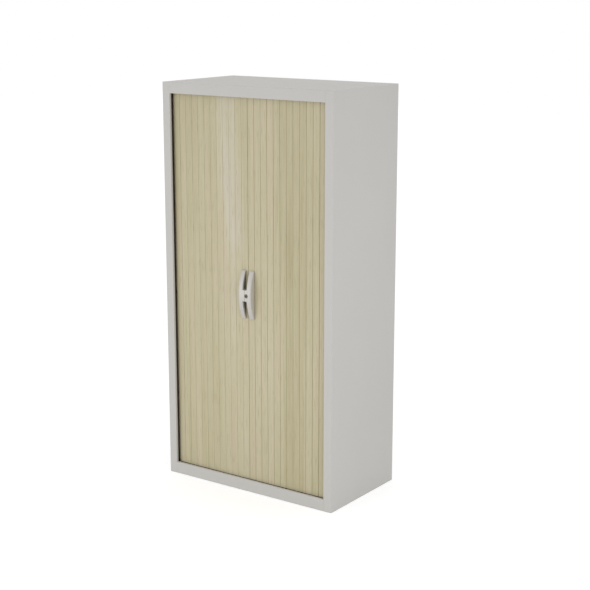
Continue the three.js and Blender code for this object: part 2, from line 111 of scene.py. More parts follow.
class Level(Enum):
    """The two levels at which a track is laid."""

    BOTTOM = 1
    TOP = -1

    @property
    def word(self) -> str:
        """The level as it stands in the names of pieces and nodes."""
        return self.name.lower()


def linear(red: float, green: float, blue: float) -> Rgb:
    """Turns a screen colour, 0 to 255 on the sRGB curve, into a shader's linear one.

    Args:
        red: Red on the screen.
        green: Green on the screen.
        blue: Blue on the screen.

    Returns:
        The three linear values.
    """
    shares = (value / 255 for value in (red, green, blue))
    return tuple(s / 12.92 if s <= 0.04045 else ((s + 0.055) / 1.055) ** 2.4 for s in shares)


# Meshes


def shell(name: str, points: Sequence[Point], faces: Sequence[Sequence[int]]) -> Piece:
    """Makes an object of one or more closed shells, with its faces turned outwards.

    Args:
        name: Name of the object.
        points: Corners in millimetres.
        faces: Corner numbers of each face.

    Returns:
        The object, at the origin.
    """
    mesh = bpy.data.meshes.new(name)
    mesh.from_pydata([Vector(p) * MM for p in points], [], [list(f) for f in faces])
    seal(mesh)
    return linked(name, mesh)


def seal(mesh: bpy.types.Mesh) -> None:
    """Merges the doubled corners of closed shells and turns their faces outwards.

    Args:
        mesh: The mesh with the shells.
    """
    work = bmesh.new()
    work.from_mesh(mesh)
    bmesh.ops.remove_doubles(work, verts=work.verts, dist=HAIR)
    bmesh.ops.recalc_face_normals(work, faces=work.faces)
    work.to_mesh(mesh)
    work.free()


def linked(name: str, mesh: bpy.types.Mesh) -> Piece:
    """Puts a mesh into the scene as an object at the origin.

    Args:
        name: Name of the object.
        mesh: Its mesh.

    Returns:
        The object.
    """
    piece = bpy.data.objects.new(name, mesh)
    bpy.context.scene.collection.objects.link(piece)
    return piece


def settle(piece: Piece) -> Piece:
    """Turns a piece's modifiers into its plain mesh.

    Args:
        piece: The object with modifiers.

    Returns:
        The same object, with the result as its own mesh.
    """
    bpy.context.view_layer.update()
    graph = bpy.context.evaluated_depsgraph_get()
    made = bpy.data.meshes.new_from_object(
        piece.evaluated_get(graph), preserve_all_data_layers=True, depsgraph=graph
    )
    piece.modifiers.clear()
    piece.data = made
    made.name = piece.name
    return piece


def shade(piece: Piece, sharp: float = 35, edge: float = 0) -> Piece:
    """Shades the curved parts smoothly and keeps the flats flat.

    Args:
        piece: The object to finish.
        sharp: Angle in degrees over which an edge stays crisp.
        edge: Width of a small round on the crisp edges, or nothing.

    Returns:
        The same object.
    """
    piece.data.shade_smooth()
    if edge:
        bevel = piece.modifiers.new("edges", "BEVEL")
        bevel.width = edge * MM
        bevel.segments = EDGE_SEGMENTS
        bevel.limit_method = "ANGLE"
        bevel.angle_limit = math.radians(sharp)
        settle(piece)
        piece.data.shade_smooth()
    piece.data.set_sharp_from_angle(angle=math.radians(sharp + (EDGE_SLACK if edge else 0)))
    weighted = piece.modifiers.new("normals", "WEIGHTED_NORMAL")
    weighted.keep_sharp = True
    weighted.weight = FACE_WEIGHT
    return settle(piece)


def mirrored(piece: Piece, side: Side) -> Piece:
    """Turns a right-hand piece into the left-hand one, or leaves it.

    Args:
        piece: A piece drawn for the right.
        side: The hand that it is for.

    Returns:
        The same object.
    """
    if side is Side.RIGHT:
        return piece
    for vertex in piece.data.vertices:
        vertex.co.x = -vertex.co.x
    work = bmesh.new()
    work.from_mesh(piece.data)
    bmesh.ops.reverse_faces(work, faces=work.faces)
    work.to_mesh(piece.data)
    work.free()
    return piece


def carve(piece: Piece, cutters: Iterable[Piece]) -> Piece:
    """Cuts other shells out of a piece and removes them.

    Args:
        piece: The piece to be cut.
        cutters: Closed shells.

    Returns:
        The cut piece.
    """
    for cutter in cutters:
        cut = piece.modifiers.new("cut", "BOOLEAN")
        cut.operation = "DIFFERENCE"
        cut.solver = "EXACT"
        cut.object = cutter
        settle(piece)
        bpy.data.objects.remove(cutter)
    return piece


def merged(name: str, parts: Sequence[Piece]) -> Piece:
    """Puts several closed shells into one object.

    Args:
        name: Name of the new object.
        parts: The shells, which are removed.

    Returns:
        The new object.
    """
    work = bmesh.new()
    for part in parts:
        work.from_mesh(part.data)
        bpy.data.objects.remove(part)
    mesh = bpy.data.meshes.new(name)
    work.to_mesh(mesh)
    work.free()
    return linked(name, mesh)


def arc(centre: Flat, radius: float, start: float, stop: float, steps: int) -> list[Flat]:
    """Gives the points of an arc.

    Args:
        centre: Its centre.
        radius: Its radius.
        start: First angle in degrees.
        stop: Last angle in degrees.
        steps: How many chords it has.

    Returns:
        The points from the first angle to the last.
    """
    angles = (math.radians(start + (stop - start) * k / steps) for k in range(steps + 1))
    return [(centre[0] + radius * math.cos(a), centre[1] + radius * math.sin(a)) for a in angles]


def rounded(run: Sequence[tuple[float, ...]], steps: int = 6) -> list[Flat]:
    """Rounds the corners of an open run of (u, v) or (u, v, radius) points.

    Args:
        run: The corners, each with a radius where it is bent round.
        steps: Chords in each bend.

    Returns:
        The run with an arc at each bend.
    """
    points: list[Flat] = []
    for k, corner in enumerate(run):
        here = Vector(corner[:2])
        if len(corner) < 3 or not corner[2] or k in (0, len(run) - 1):
            points.append(tuple(here))
            continue
        before = (Vector(run[k - 1][:2]) - here).normalized()
        after = (Vector(run[k + 1][:2]) - here).normalized()
        half = before.angle(after) / 2
        centre = here + (before + after).normalized() * (corner[2] / math.sin(half))
        start = here + before * (corner[2] / math.tan(half)) - centre
        stop = here + after * (corner[2] / math.tan(half)) - centre
        sweep = math.atan2(start.cross(stop), start.dot(stop))
        first = math.atan2(start.y, start.x)
        ends = (math.degrees(first), math.degrees(first + sweep))
        points.extend(arc(tuple(centre), corner[2], *ends, steps))
    return points


def thickened(run: Sequence[Flat], thickness: float) -> list[Flat]:
    """Makes the section of a folded sheet from the run of its outer face.

    Args:
        run: The outer face; the sheet lies to the left of it.
        thickness: The sheet's thickness.

    Returns:
        The closed outline.
    """
    inner = []
    for k, here in enumerate(run):
        into = (Vector(run[max(k, 1)]) - Vector(run[max(k, 1) - 1])).normalized()
        nearest = min(k, len(run) - 2)
        out = (Vector(run[nearest + 1]) - Vector(run[nearest])).normalized()
        normal = Vector((-into.y - out.y, into.x + out.x)).normalized()
        stretch = thickness / max(normal.dot(Vector((-into.y, into.x))), LEAST_COSINE)
        inner.append(tuple(Vector(here) + normal * stretch))
    return [*run, *reversed(inner)]


def pulled(name: str, outline: Sequence[Flat], low: float, high: float, way: Way) -> Piece:
    """Pulls a closed outline out into a solid.

    Args:
        name: Name of the object.
        outline: The closed outline.
        low: Where it starts along the way.
        high: Where it ends.
        way: The way in which it is pulled.

    Returns:
        The solid.
    """
    count = len(outline)
    rings = []
    for level in (low, high):
        for u, v in outline:
            rings.append((u, v, level) if way is Way.UP else (level, u, v))
    walls = [(k, (k + 1) % count, (k + 1) % count + count, k + count) for k in range(count)]
    return shell(name, rings, [*walls, range(count), range(count, 2 * count)])


def box(name: str, low: Point, high: Point) -> Piece:
    """Makes a plain block between its lowest and its highest corner."""
    outline = [(low[0], low[1]), (high[0], low[1]), (high[0], high[1]), (low[0], high[1])]
    return pulled(name, outline, low[2], high[2], Way.UP)


def skinned(name: str, rings: Sequence[Sequence[Point]]) -> Piece:
    """Makes a closed skin over rings with the same number of points.

    Args:
        name: Name of the object.
        rings: The rings in order; the first and last are closed with a face.

    Returns:
        The solid.
    """
    count = len(rings[0])
    points = [p for ring in rings for p in ring]
    faces: list[Sequence[int]] = [range(count), range(len(points) - count, len(points))]
    for row in range(len(rings) - 1):
        for k in range(count):
            a, b = row * count + k, row * count + (k + 1) % count
            faces.append((a, b, b + count, a + count))
    return shell(name, points, faces)


def turned(name: str, profile: Sequence[Flat], centre: Flat, sides: int) -> Piece:
    """Turns a profile of (radius, y) about an axis along Y.

    Args:
        name: Name of the object.
        profile: Points from the axis in front to the axis behind.
        centre: X and Z of the axis.
        sides: Steps round it.

    Returns:
        The solid.
    """
    rings = []
    for k in range(sides):
        angle = 2 * math.pi * k / sides
        turn = (math.cos(angle), math.sin(angle))
        rings.extend((centre[0] + r * turn[0], y, centre[1] + r * turn[1]) for r, y in profile)
    count = len(profile)
    faces = []
    for k in range(sides):
        here, after = k * count, (k + 1) % sides * count
        faces.extend((here + j, here + j + 1, after + j + 1, after + j) for j in range(count - 1))
    return shell(name, rings, faces)


# Finishes


@dataclass
class Graph:
    """A node tree that is written out one node at a time."""

    tree: bpy.types.NodeTree

    def node(self, kind: str, inputs: dict[Any, Any] | None = None, **settings: Any) -> bpy.types.Node:
        """Adds a node.

        Args:
            kind: The node's type.
            inputs: A value or another node's output for each input that is set.
            **settings: The node's own settings.

        Returns:
            The node.
        """
        made = self.tree.nodes.new(kind)
        for key, value in settings.items():
            setattr(made, key, value)
        for key, value in (inputs or {}).items():
            self.feed(made.inputs[key], value)
        return made

    def feed(self, socket: Socket, value: Any) -> None:
        """Sets a socket to a value, or links another node's output to it.

        Args:
            socket: The input.
            value: The value or the output.
        """
        if isinstance(value, Socket):
            self.tree.links.new(value, socket)
        else:
            socket.default_value = value


@dataclass
class Shader(Graph):
    """A material with one surface shader."""

    tree: bpy.types.NodeTree = field(init=False)
    name: str
    material: bpy.types.Material = field(init=False)
    surface: bpy.types.Node = field(init=False)

    def __post_init__(self) -> None:
        """Starts the material with its surface shader."""
        self.material = bpy.data.materials.new(self.name)
        self.material.use_nodes = True
        self.tree = self.material.node_tree
        self.surface = self.tree.nodes["Principled BSDF"]

    @property
    def where(self) -> Socket:
        """Object coordinates, in metres."""
        return self.node("ShaderNodeTexCoord").outputs["Object"]

    def attribute(self, label: str, output: str = "Fac") -> Socket:
        """Reads one of the piece's attributes."""
        return self.node("ShaderNodeAttribute", attribute_name=label).outputs[output]

    def math(self, operation: str, first: Any, second: Any = 0.0, third: Any = 0.0) -> Socket:
        """Adds a Math node and gives its output."""
        made = self.node("ShaderNodeMath", {0: first, 1: second, 2: third}, operation=operation)
        return made.outputs[0]

    def noise(self, where: Any, scale: Point, detail: float = 2.0, rough: float = 0.5) -> Socket:
        """Adds noise that is stretched by a scale along each axis.

        Args:
            where: The coordinates, in metres.
            scale: Features in a metre along x, y and z.
            detail: Octaves of the noise.
            rough: How strong the finer octaves are.

        Returns:
            The noise, from 0 to 1.
        """
        spread = self.node("ShaderNodeMapping", {"Vector": where, "Scale": scale})
        values = {"Vector": spread.outputs[0], "Scale": 1.0, "Detail": detail, "Roughness": rough}
        return self.node("ShaderNodeTexNoise", values).outputs["Fac"]

    def between(
        self, value: Any, low: float, high: float, start: float = 0.0, stop: float = 1.0
    ) -> Socket:
        """Maps a value from one range to another, held at the ends.

        Args:
            value: The value to map.
            low: It gives the start.
            high: It gives the stop.
            start: Result at low.
            stop: Result at high.

        Returns:
            The mapped value.
        """
        keys = {"Value": value, "From Min": low, "From Max": high, "To Min": start, "To Max": stop}
        return self.node("ShaderNodeMapRange", keys).outputs[0]

    def ramp(self, value: Any, stops: Sequence[tuple[float, Rgb]]) -> Socket:
        """Adds a colour ramp.

        Args:
            value: Where on the ramp the colour is taken.
            stops: Places and linear colours.

        Returns:
            The colour.
        """
        made = self.node("ShaderNodeValToRGB", {"Fac": value})
        elements = made.color_ramp.elements
        while len(elements) < len(stops):
            elements.new(0.5)
        for element, (place, color) in zip(elements, stops):
            element.position = place
            element.color = (*color, 1.0)
        return made.outputs["Color"]

    def cover(self, share: Any, under: Any, color: Rgb) -> Socket:
        """Lays a colour over another.

        Args:
            share: How far it covers, from 0 to 1.
            under: The colour that lies under it.
            color: The colour that is laid over it.

        Returns:
            The mixed colour.
        """
        # A Mix node's sockets for colours have no names of their own, only numbers
        keys = {"Factor": share, 6: under, 7: (*color, 1.0)}
        return self.node("ShaderNodeMix", keys, data_type="RGBA").outputs[2]

    def bump(self, height: Any, distance: float, strength: float = 1.0, under: Any = None) -> Socket:
        """Adds a bump from a height between 0 and 1.

        Args:
            height: The height.
            distance: What a height of 1 stands for, in metres.
            strength: Share of it that is used.
            under: The normal of another bump, on which this one lies.

        Returns:
            The normal.
        """
        values = {"Height": height, "Distance": distance, "Strength": strength}
        if under is not None:
            values["Normal"] = under
        return self.node("ShaderNodeBump", values).outputs["Normal"]

    def done(self, **values: Any) -> bpy.types.Material:
        """Sets the surface's sockets.

        Args:
            **values: A value or a node's output for each socket, with _ for a space.

        Returns:
            The finished material.
        """
        for key, value in values.items():
            self.feed(self.surface.inputs[key.replace("_", " ")], value)
        return self.material


def toned(color: Rgb, gain: float) -> Rgb:
    """Makes a linear colour lighter or darker."""
    return tuple(value * gain for value in color)


@dataclass(frozen=True)
class PowderCoat:
    """Smooth powder coat on sheet steel: faint clouds of tone, orange peel and a slow waviness."""

    slot: str = "carcass_paint"
    name: str = "powder_coat"
    color: Rgb = linear(197, 195, 191)
    cloud_per_m: Point = (3.1, 3.1, 2.3)
    cloud_share: float = 0.012
    rough: float = 0.56
    rough_drift: float = 0.04
    gloss: float = 0.22
    peel_per_m: float = 520
    peel_height: float = 0.00002
    grit_per_m: float = 2300
    grit_height: float = 0.000008
    wave_per_m: float = 2.6
    wave_height: float = 0.0006

    def material(self) -> bpy.types.Material:
        """Builds the coat on Object coordinates.

        Returns:
            The material.
        """
        paint = Shader(self.name)
        where = paint.where
        cloud = paint.noise(where, self.cloud_per_m, detail=3.0)
        low = toned(self.color, 1 - self.cloud_share)
        high = toned(self.color, 1 + self.cloud_share)
        peel = paint.noise(where, (self.peel_per_m,) * 3, detail=2.0)
        grit = paint.noise(where, (self.grit_per_m,) * 3, detail=1.0)
        wave = paint.noise(where, (self.wave_per_m,) * 3, detail=1.0)
        normal = paint.bump(wave, self.wave_height)
        normal = paint.bump(peel, self.peel_height, under=normal)
        normal = paint.bump(grit, self.grit_height, under=normal)
        smooth, dull = self.rough - self.rough_drift, self.rough + self.rough_drift
        return paint.done(
            Base_Color=paint.ramp(cloud, [(NOISE_LOW, low), (NOISE_HIGH, high)]),
            Roughness=paint.between(peel, NOISE_LOW, NOISE_HIGH, smooth, dull),
            Specular_IOR_Level=self.gloss,
            Normal=normal,
        )


@dataclass(frozen=True)
class Layer:
    """One layer of the wood grain: the noise that draws it, and how much it counts."""

    per_m: Point
    detail: float
    rough: float = 0.5
    share: float = 1.0

    def on(self, wood: Shader, place: Socket) -> Socket:
        """Adds the layer's noise to a material."""
        return wood.noise(place, self.per_m, self.detail, self.rough)


@dataclass(frozen=True)
class WoodDecor:
    """Pale wood-look foil: upright streaks, short dark dashes and broad bands, greener and pinker.

    It reads six attributes of the slats: grain, metres across, through and up the curtain; tone, a
    shift for each slat; across, metres from the slat's leading edge; along, metres from the middle
    of the cabinet to that edge; edge, how strongly its edges get painted shade and a painted
    highlight; and the last, how far a painted reflection shows, a pale patch of light off the foil.
    """

    slot: str = "slat_decor"
    name: str = "wood_decor"
    tones: tuple[tuple[float, Rgb], ...] = (
        (0.12, linear(170, 161, 124)),
        (0.42, linear(187, 179, 146)),
        (0.6, linear(193, 185, 155)),
        (0.86, linear(200, 192, 171)),
    )
    pink: Rgb = linear(193, 177, 151)
    # The grain's dashes, and also the painted shade at the slats' edges, take this colour
    dash: Rgb = linear(157, 146, 110)
    # Colour of the painted reflection, a pale patch of light off the foil
    sap: Rgb = linear(200, 194, 181)
    drift: Layer = Layer((5.0, 1.0, 1.3), 1.0)
    sway: float = 0.006
    broad: Layer = Layer((5.2, 1.0, 0.75), 1.0, share=0.75)
    band: Layer = Layer((21.0, 1.0, 0.9), 2.0, 0.45, share=0.6)
    streak: Layer = Layer((95.0, 1.0, 2.3), 3.0, 0.6, share=0.55)
    fine: Layer = Layer((700.0, 1.0, 5.0), 2.0, 0.6, share=0.46)
    level: float = -0.73
    tone_share: float = 0.045
    warm: Layer = Layer((33.0, 1.0, 1.5), 1.0, share=0.45)
    warm_low: float = 0.45
    warm_high: float = 0.7
    dashes: Layer = Layer((330.0, 1.0, 13.0), 2.0, share=0.6)
    dash_low: float = 0.58
    dash_high: float = 0.7
    dash_depth: float = 0.8
    relief_height: float = 0.00006
    relief_strength: float = 0.7
    rough_dark: float = 0.56
    rough_pale: float = 0.46
    pitch: float = 0.03
    # Painted shade along the slats' edges, and a painted highlight just inside the leading edge
    edge_full: float = 0.0006
    edge_width: float = 0.0013
    edge_share: float = 0.55
    edge_level: float = 0.95
    edge_swing: float = 0.35
    glint: float = 0.16
    glint_end: float = 0.0045
    # Where the painted reflection rises, fades, leans and ends, in metres
    sap_low: float = 0.92
    sap_start: float = 1.02
    sap_high: float = 1.6
    sap_high_share: float = 0.6
    sap_middle: float = 0.062
    sap_lean: float = 0.08
    sap_core: float = 0.022
    sap_half: float = 0.052
    fray_low: float = 0.3
    fray_high: float = 0.6
    fray_share: float = 0.45

    def edges(self, wood: Shader, tone: Socket) -> tuple[Socket, Socket]:
        """Marks painted shade at a slat's edges and a painted highlight by its leading edge.

        Args:
            wood: The material that is being built.
            tone: Each slat's own shift.

        Returns:
            How far the foil is darkened by painted shade, and how far it is lightened by a painted
            highlight.
        """
        across = wood.attribute("across")
        edge = wood.attribute("edge")
        # Painted shade: masks of both edges of each slat, where the seams lie in shade
        start = wood.between(across, self.edge_full, self.edge_width, 1.0, 0.0)
        stop = wood.between(across, self.pitch - self.edge_width, self.pitch - self.edge_full)
        uneven = wood.math("MULTIPLY_ADD", tone, self.edge_swing, self.edge_level)
        strength = wood.math("MULTIPLY", edge, uneven)
        painted_edge_shade = wood.math("MULTIPLY", wood.math("MAXIMUM", start, stop), strength)
        # Painted highlight: a lighter band just inside the leading edge
        glint = wood.between(across, self.edge_width, self.glint_end, self.glint, 0.0)
        return painted_edge_shade, wood.math("MULTIPLY", glint, edge)

    def sapwood(self, wood: Shader, streak: Socket) -> Socket:
        """Marks a painted reflection: a pale patch that leans beside the meeting edge, above the pull.

        Args:
            wood: The material that is being built.
            streak: The streaks, which also fray the painted reflection.

        Returns:
            How far the painted reflection shows.
        """
        height = wood.node("ShaderNodeSeparateXYZ", {0: wood.where}).outputs["Z"]
        above = wood.math("SUBTRACT", height, self.sap_start)
        middle = wood.math("MULTIPLY_ADD", above, self.sap_lean, self.sap_middle)
        place = wood.math("ADD", wood.attribute("along"), wood.attribute("across"))
        aside = wood.math("ABSOLUTE", wood.math("SUBTRACT", place, middle))
        inside = wood.between(aside, self.sap_core, self.sap_half, 1.0, 0.0)
        frayed = wood.between(streak, self.fray_low, self.fray_high, self.fray_share, 1.0)
        rising = wood.between(height, self.sap_low, self.sap_start)
        fading = wood.between(height, self.sap_start, self.sap_high, 1.0, self.sap_high_share)
        wide = wood.math("MULTIPLY", inside, frayed)
        tall = wood.math("MULTIPLY", rising, fading)
        return wood.math("MULTIPLY", wood.attribute("sap"), wood.math("MULTIPLY", wide, tall))

    def material(self) -> bpy.types.Material:
        """Builds the foil on the slats' own attributes.

        Returns:
            The material.
        """
        wood = Shader(self.name)
        grain = wood.attribute("grain", "Vector")
        tone = wood.attribute("tone")
        slide = wood.math("MULTIPLY_ADD", self.drift.on(wood, grain), 2 * self.sway, -self.sway)
        aside = wood.node("ShaderNodeCombineXYZ", {"X": slide}).outputs[0]
        place = wood.node("ShaderNodeVectorMath", {0: grain, 1: aside}, operation="ADD").outputs[0]
        streak = self.streak.on(wood, place)
        fine = self.fine.on(wood, place)
        painted_edge_shade, glint = self.edges(wood, tone)
        total: Any = self.level
        for value, share in (
            (self.broad.on(wood, place), self.broad.share),
            (self.band.on(wood, place), self.band.share),
            (streak, self.streak.share),
            (fine, self.fine.share),
            (tone, self.tone_share),
            (painted_edge_shade, -self.edge_share),
        ):
            total = wood.math("MULTIPLY_ADD", value, share, total)
        foil = wood.ramp(wood.math("ADD", total, glint), self.tones)
        warm = self.warm.on(wood, place)
        pinker = wood.between(warm, self.warm_low, self.warm_high, 0.0, self.warm.share)
        foil = wood.cover(pinker, foil, self.pink)
        # Painted reflection: a pale patch laid over the foil, for light reflected off it above the pull
        foil = wood.cover(self.sapwood(wood, streak), foil, self.sap)
        dashes = self.dashes.on(wood, place)
        dashed = wood.between(dashes, self.dash_low, self.dash_high, 0.0, self.dashes.share)
        # The dashes and the painted shade at the slats' edges are laid on in one dark colour
        foil = wood.cover(wood.math("MAXIMUM", dashed, painted_edge_shade), foil, self.dash)
        relief = wood.math("MULTIPLY_ADD", dashed, -self.dash_depth, fine)
        return wood.done(
            Base_Color=foil,
            Roughness=wood.between(streak, NOISE_LOW, NOISE_HIGH, self.rough_dark, self.rough_pale),
            Normal=wood.bump(relief, self.relief_height, self.relief_strength),
        )


@dataclass(frozen=True)
class SatinSilver:
    """Satin silver lacquer with a fine metallic flake, and painted shade where the hollow is 1."""

    slot: str = "pull_silver"
    name: str = "satin_silver"
    color: Rgb = linear(192, 188, 182)
    dim: float = 0.95
    bright: float = 1.04
    metal: float = 0.12
    rough: float = 0.4
    rough_drift: float = 0.04
    flake_per_m: float = 3400.0
    flake_share: float = 0.6
    flake_height: float = 0.00001
    flake_strength: float = 0.6
    cloud_per_m: float = 55.0
    cloud_share: float = 0.4
    # Painted shade: the dark colour laid deep in the finger hollow, where shade falls
    lining: Rgb = linear(103, 100, 88)
    lining_rough: float = 0.18

    def material(self) -> bpy.types.Material:
        """Builds the lacquer on Object coordinates and the attribute hollow.

        Returns:
            The material.
        """
        lacquer = Shader(self.name)
        where = lacquer.where
        hollow = lacquer.attribute("hollow")
        flake = lacquer.noise(where, (self.flake_per_m,) * 3, detail=1.0)
        cloud = lacquer.noise(where, (self.cloud_per_m,) * 3, detail=2.0)
        flakes = lacquer.math("MULTIPLY", flake, self.flake_share)
        mixed = lacquer.math("MULTIPLY_ADD", cloud, self.cloud_share, flakes)
        low, high = toned(self.color, self.dim), toned(self.color, self.bright)
        silver = lacquer.ramp(mixed, [(NOISE_LOW, low), (NOISE_HIGH, high)])
        smooth, dull = self.rough - self.rough_drift, self.rough + self.rough_drift
        rough = lacquer.between(cloud, NOISE_LOW, NOISE_HIGH, smooth, dull)
        return lacquer.done(
            # Painted shade darkens the silver towards the bottom of the finger hollow
            Base_Color=lacquer.cover(hollow, silver, self.lining),
            Metallic=self.metal,
            Roughness=lacquer.math("MULTIPLY_ADD", hollow, self.lining_rough, rough),
            Normal=lacquer.bump(flake, self.flake_height, self.flake_strength),
        )


@dataclass(frozen=True)
class MouldedPlastic:
    """Dark moulded plastic with a fine spark-eroded grain and paler scuffs."""

    slot: str = "track_plastic"
    name: str = "track_plastic"
    color: Rgb = linear(37, 28, 21)
    rough_low: float = 0.45
    rough_high: float = 0.6
    grain_per_m: float = 1500.0
    grain_height: float = 0.00003
    grain_strength: float = 0.6
    scuff_per_m: float = 40.0
    scuff_gain: float = 1.35
    scuff_low: float = 0.35
    scuff_high: float = 0.75

    def material(self) -> bpy.types.Material:
        """Builds the plastic on Object coordinates.

        Returns:
            The material.
        """
        plastic = Shader(self.name)
        where = plastic.where
        grain = plastic.noise(where, (self.grain_per_m,) * 3, detail=2.0)
        scuff = plastic.noise(where, (self.scuff_per_m,) * 3, detail=3.0)
        stops = [(self.scuff_low, self.color), (self.scuff_high, toned(self.color, self.scuff_gain))]
        return plastic.done(
            Base_Color=plastic.ramp(scuff, stops),
            Roughness=plastic.between(scuff, NOISE_LOW, NOISE_HIGH, self.rough_low, self.rough_high),
            Normal=plastic.bump(grain, self.grain_height, self.grain_strength),
        )


@dataclass(frozen=True)
class PlatedSteel:
    """Zinc or nickel plate, drawn out in fine lines along one axis."""

    slot: str = "lock_metal"
    name: str = "plated_steel"
    color: Rgb = linear(188, 187, 183)
    dim: float = 0.86
    rough: float = 0.3
    rough_less: float = 0.05
    rough_more: float = 0.09
    lines: Point = (90.0, 90.0, 2600.0)
    line_height: float = 0.000015
    line_strength: float = 0.7

    def material(self) -> bpy.types.Material:
        """Builds the plate on Object coordinates.

        Returns:
            The material.
        """
        plate = Shader(self.name)
        line = plate.noise(plate.where, self.lines, detail=3.0, rough=0.6)
        stops = [(NOISE_LOW, toned(self.color, self.dim)), (NOISE_HIGH, self.color)]
        smooth, dull = self.rough - self.rough_less, self.rough + self.rough_more
        return plate.done(
            Base_Color=plate.ramp(line, stops),
            Metallic=1.0,
            Roughness=plate.between(line, NOISE_LOW, NOISE_HIGH, smooth, dull),
            Normal=plate.bump(line, self.line_height, self.line_strength),
        )


Finish = PowderCoat | WoodDecor | SatinSilver | MouldedPlastic | PlatedSteel


@dataclass
class Workshop:
    """Keeps each finish's material and hands finished pieces to the frame."""

    made: dict[str, bpy.types.Material] = field(default_factory=dict)
    shown: int = 0

    def material(self, finish: Finish) -> bpy.types.Material:
        """Gives a finish's material, and builds it the first time.

        Args:
            finish: The finish.

        Returns:
            Its material.
        """
        if finish.name not in self.made:
            self.made[finish.name] = finish.material()
        return self.made[finish.name]

    def fit(self, piece: Piece, body: str, finish: Finish, *nodes: str) -> None:
        """Dresses a new piece and makes it ride on its body in the place of its nodes.

        Args:
            piece: The finished piece.
            body: The body that carries it.
            finish: Its finish.
            *nodes: The nodes that it stands for.
        """
        if not piece.data.materials:
            piece.data.materials.append(self.material(finish))
        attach(piece, body)
        if nodes:
            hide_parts(*nodes)
        self.shown += 1
        faces, stands_for = len(piece.data.polygons), nodes or "no node"
        LOG.info("%s: %d faces, on %s, for %s", piece.name, faces, body, stands_for)

    def paint(self, node: Piece, finish: Finish) -> None:
        """Gives a node that stays as it is a better material.

        Args:
            node: The node's object.
            finish: Its finish.
        """
        node.data.materials.clear()
        node.data.materials.append(self.material(finish))
        self.shown += 1
        LOG.info("%s: kept, with %s", node.name, finish.name)


# Geometry Nodes

# The kind of socket that takes each type of value
SOCKETS = {
    float: "NodeSocketFloat",
    int: "NodeSocketInt",
    tuple: "NodeSocketVector",
    Piece: "NodeSocketObject",
    bpy.types.Material: "NodeSocketMaterial",
}


@dataclass
class Tree(Graph):
    """A Geometry Nodes tree with named inputs."""

    tree: bpy.types.NodeTree = field(init=False)
    name: str
    start: bpy.types.Node = field(init=False)
    keys: dict[str, str] = field(default_factory=dict)

    def __post_init__(self) -> None:
        """Starts the tree with its geometry coming in and going out."""
        self.tree = bpy.data.node_groups.new(self.name, "GeometryNodeTree")
        for way in ("INPUT", "OUTPUT"):
            self.socket("Geometry", "NodeSocketGeometry", way)
        self.start = self.tree.nodes.new("NodeGroupInput")

    def socket(self, label: str, kind: str, way: str = "INPUT") -> Any:
        """Adds a socket to the tree's own inputs or outputs."""
        return self.tree.interface.new_socket(name=label, in_out=way, socket_type=kind)

    @property
    def geometry(self) -> Socket:
        """The geometry of the object that the tree is on."""
        return self.start.outputs["Geometry"]

    def ask(self, label: str, kind: type) -> Socket:
        """Adds a named input.

        Args:
            label: Its name.
            kind: The type of its value.

        Returns:
            The socket that gives its value in the tree.
        """
        item = self.socket(label, SOCKETS[kind])
        self.keys[label] = item.identifier
        return next(out for out in self.start.outputs if out.identifier == item.identifier)

    def store(self, geometry: Any, label: str, kind: str, domain: str, value: Any) -> Socket:
        """Writes a named attribute.

        Args:
            geometry: The geometry that gets it.
            label: Its name.
            kind: Its data type.
            domain: Where it is kept.
            value: What is written.

        Returns:
            The geometry with the attribute.
        """
        keys = {"Geometry": geometry, "Name": label, "Value": value}
        made = self.node("GeometryNodeStoreNamedAttribute", keys, data_type=kind, domain=domain)
        return made.outputs[0]

    def named(self, label: str, kind: str) -> Socket:
        """Reads a named attribute."""
        return self.node("GeometryNodeInputNamedAttribute", {"Name": label}, data_type=kind).outputs[0]

    def close(self, geometry: Any, material: Any, smooth: bool = True) -> None:
        """Ends the tree in Realize Instances and Set Material.

        Args:
            geometry: What the tree has made.
            material: The material's socket.
            smooth: Whether the faces are shaded smoothly.
        """
        real = self.node("GeometryNodeRealizeInstances", {"Geometry": geometry}).outputs[0]
        keys = {"Geometry": real, "Shade Smooth": smooth}
        soft = self.node("GeometryNodeSetShadeSmooth", keys).outputs[0]
        dressed = self.node("GeometryNodeSetMaterial", {"Geometry": soft, "Material": material})
        self.node("NodeGroupOutput", {"Geometry": dressed.outputs[0]})

    def grow(self, seed: Piece, **values: Any) -> Piece:
        """Runs the tree on an object and turns the result into its plain mesh.

        Args:
            seed: The object that carries the tree.
            **values: A value for each named input, with _ for a space.

        Returns:
            The same object, without its modifier.
        """
        modifier = seed.modifiers.new(self.name, "NODES")
        modifier.node_group = self.tree
        for label, value in values.items():
            modifier[self.keys[label.replace("_", " ").capitalize()]] = value
        return settle(seed)


def wire(name: str, points: Sequence[Point], closed: bool = False) -> Piece:
    """Makes an object of points joined by edges, in millimetres.

    Args:
        name: Name of the object.
        points: The points in order.
        closed: Whether the last point joins the first.

    Returns:
        The object.
    """
    links = [(k, k + 1) for k in range(len(points) - 1)]
    if closed:
        links.append((len(points) - 1, 0))
    mesh = bpy.data.meshes.new(name)
    mesh.from_pydata([Vector(p) * MM for p in points], links, [])
    return linked(name, mesh)


# The cabinet


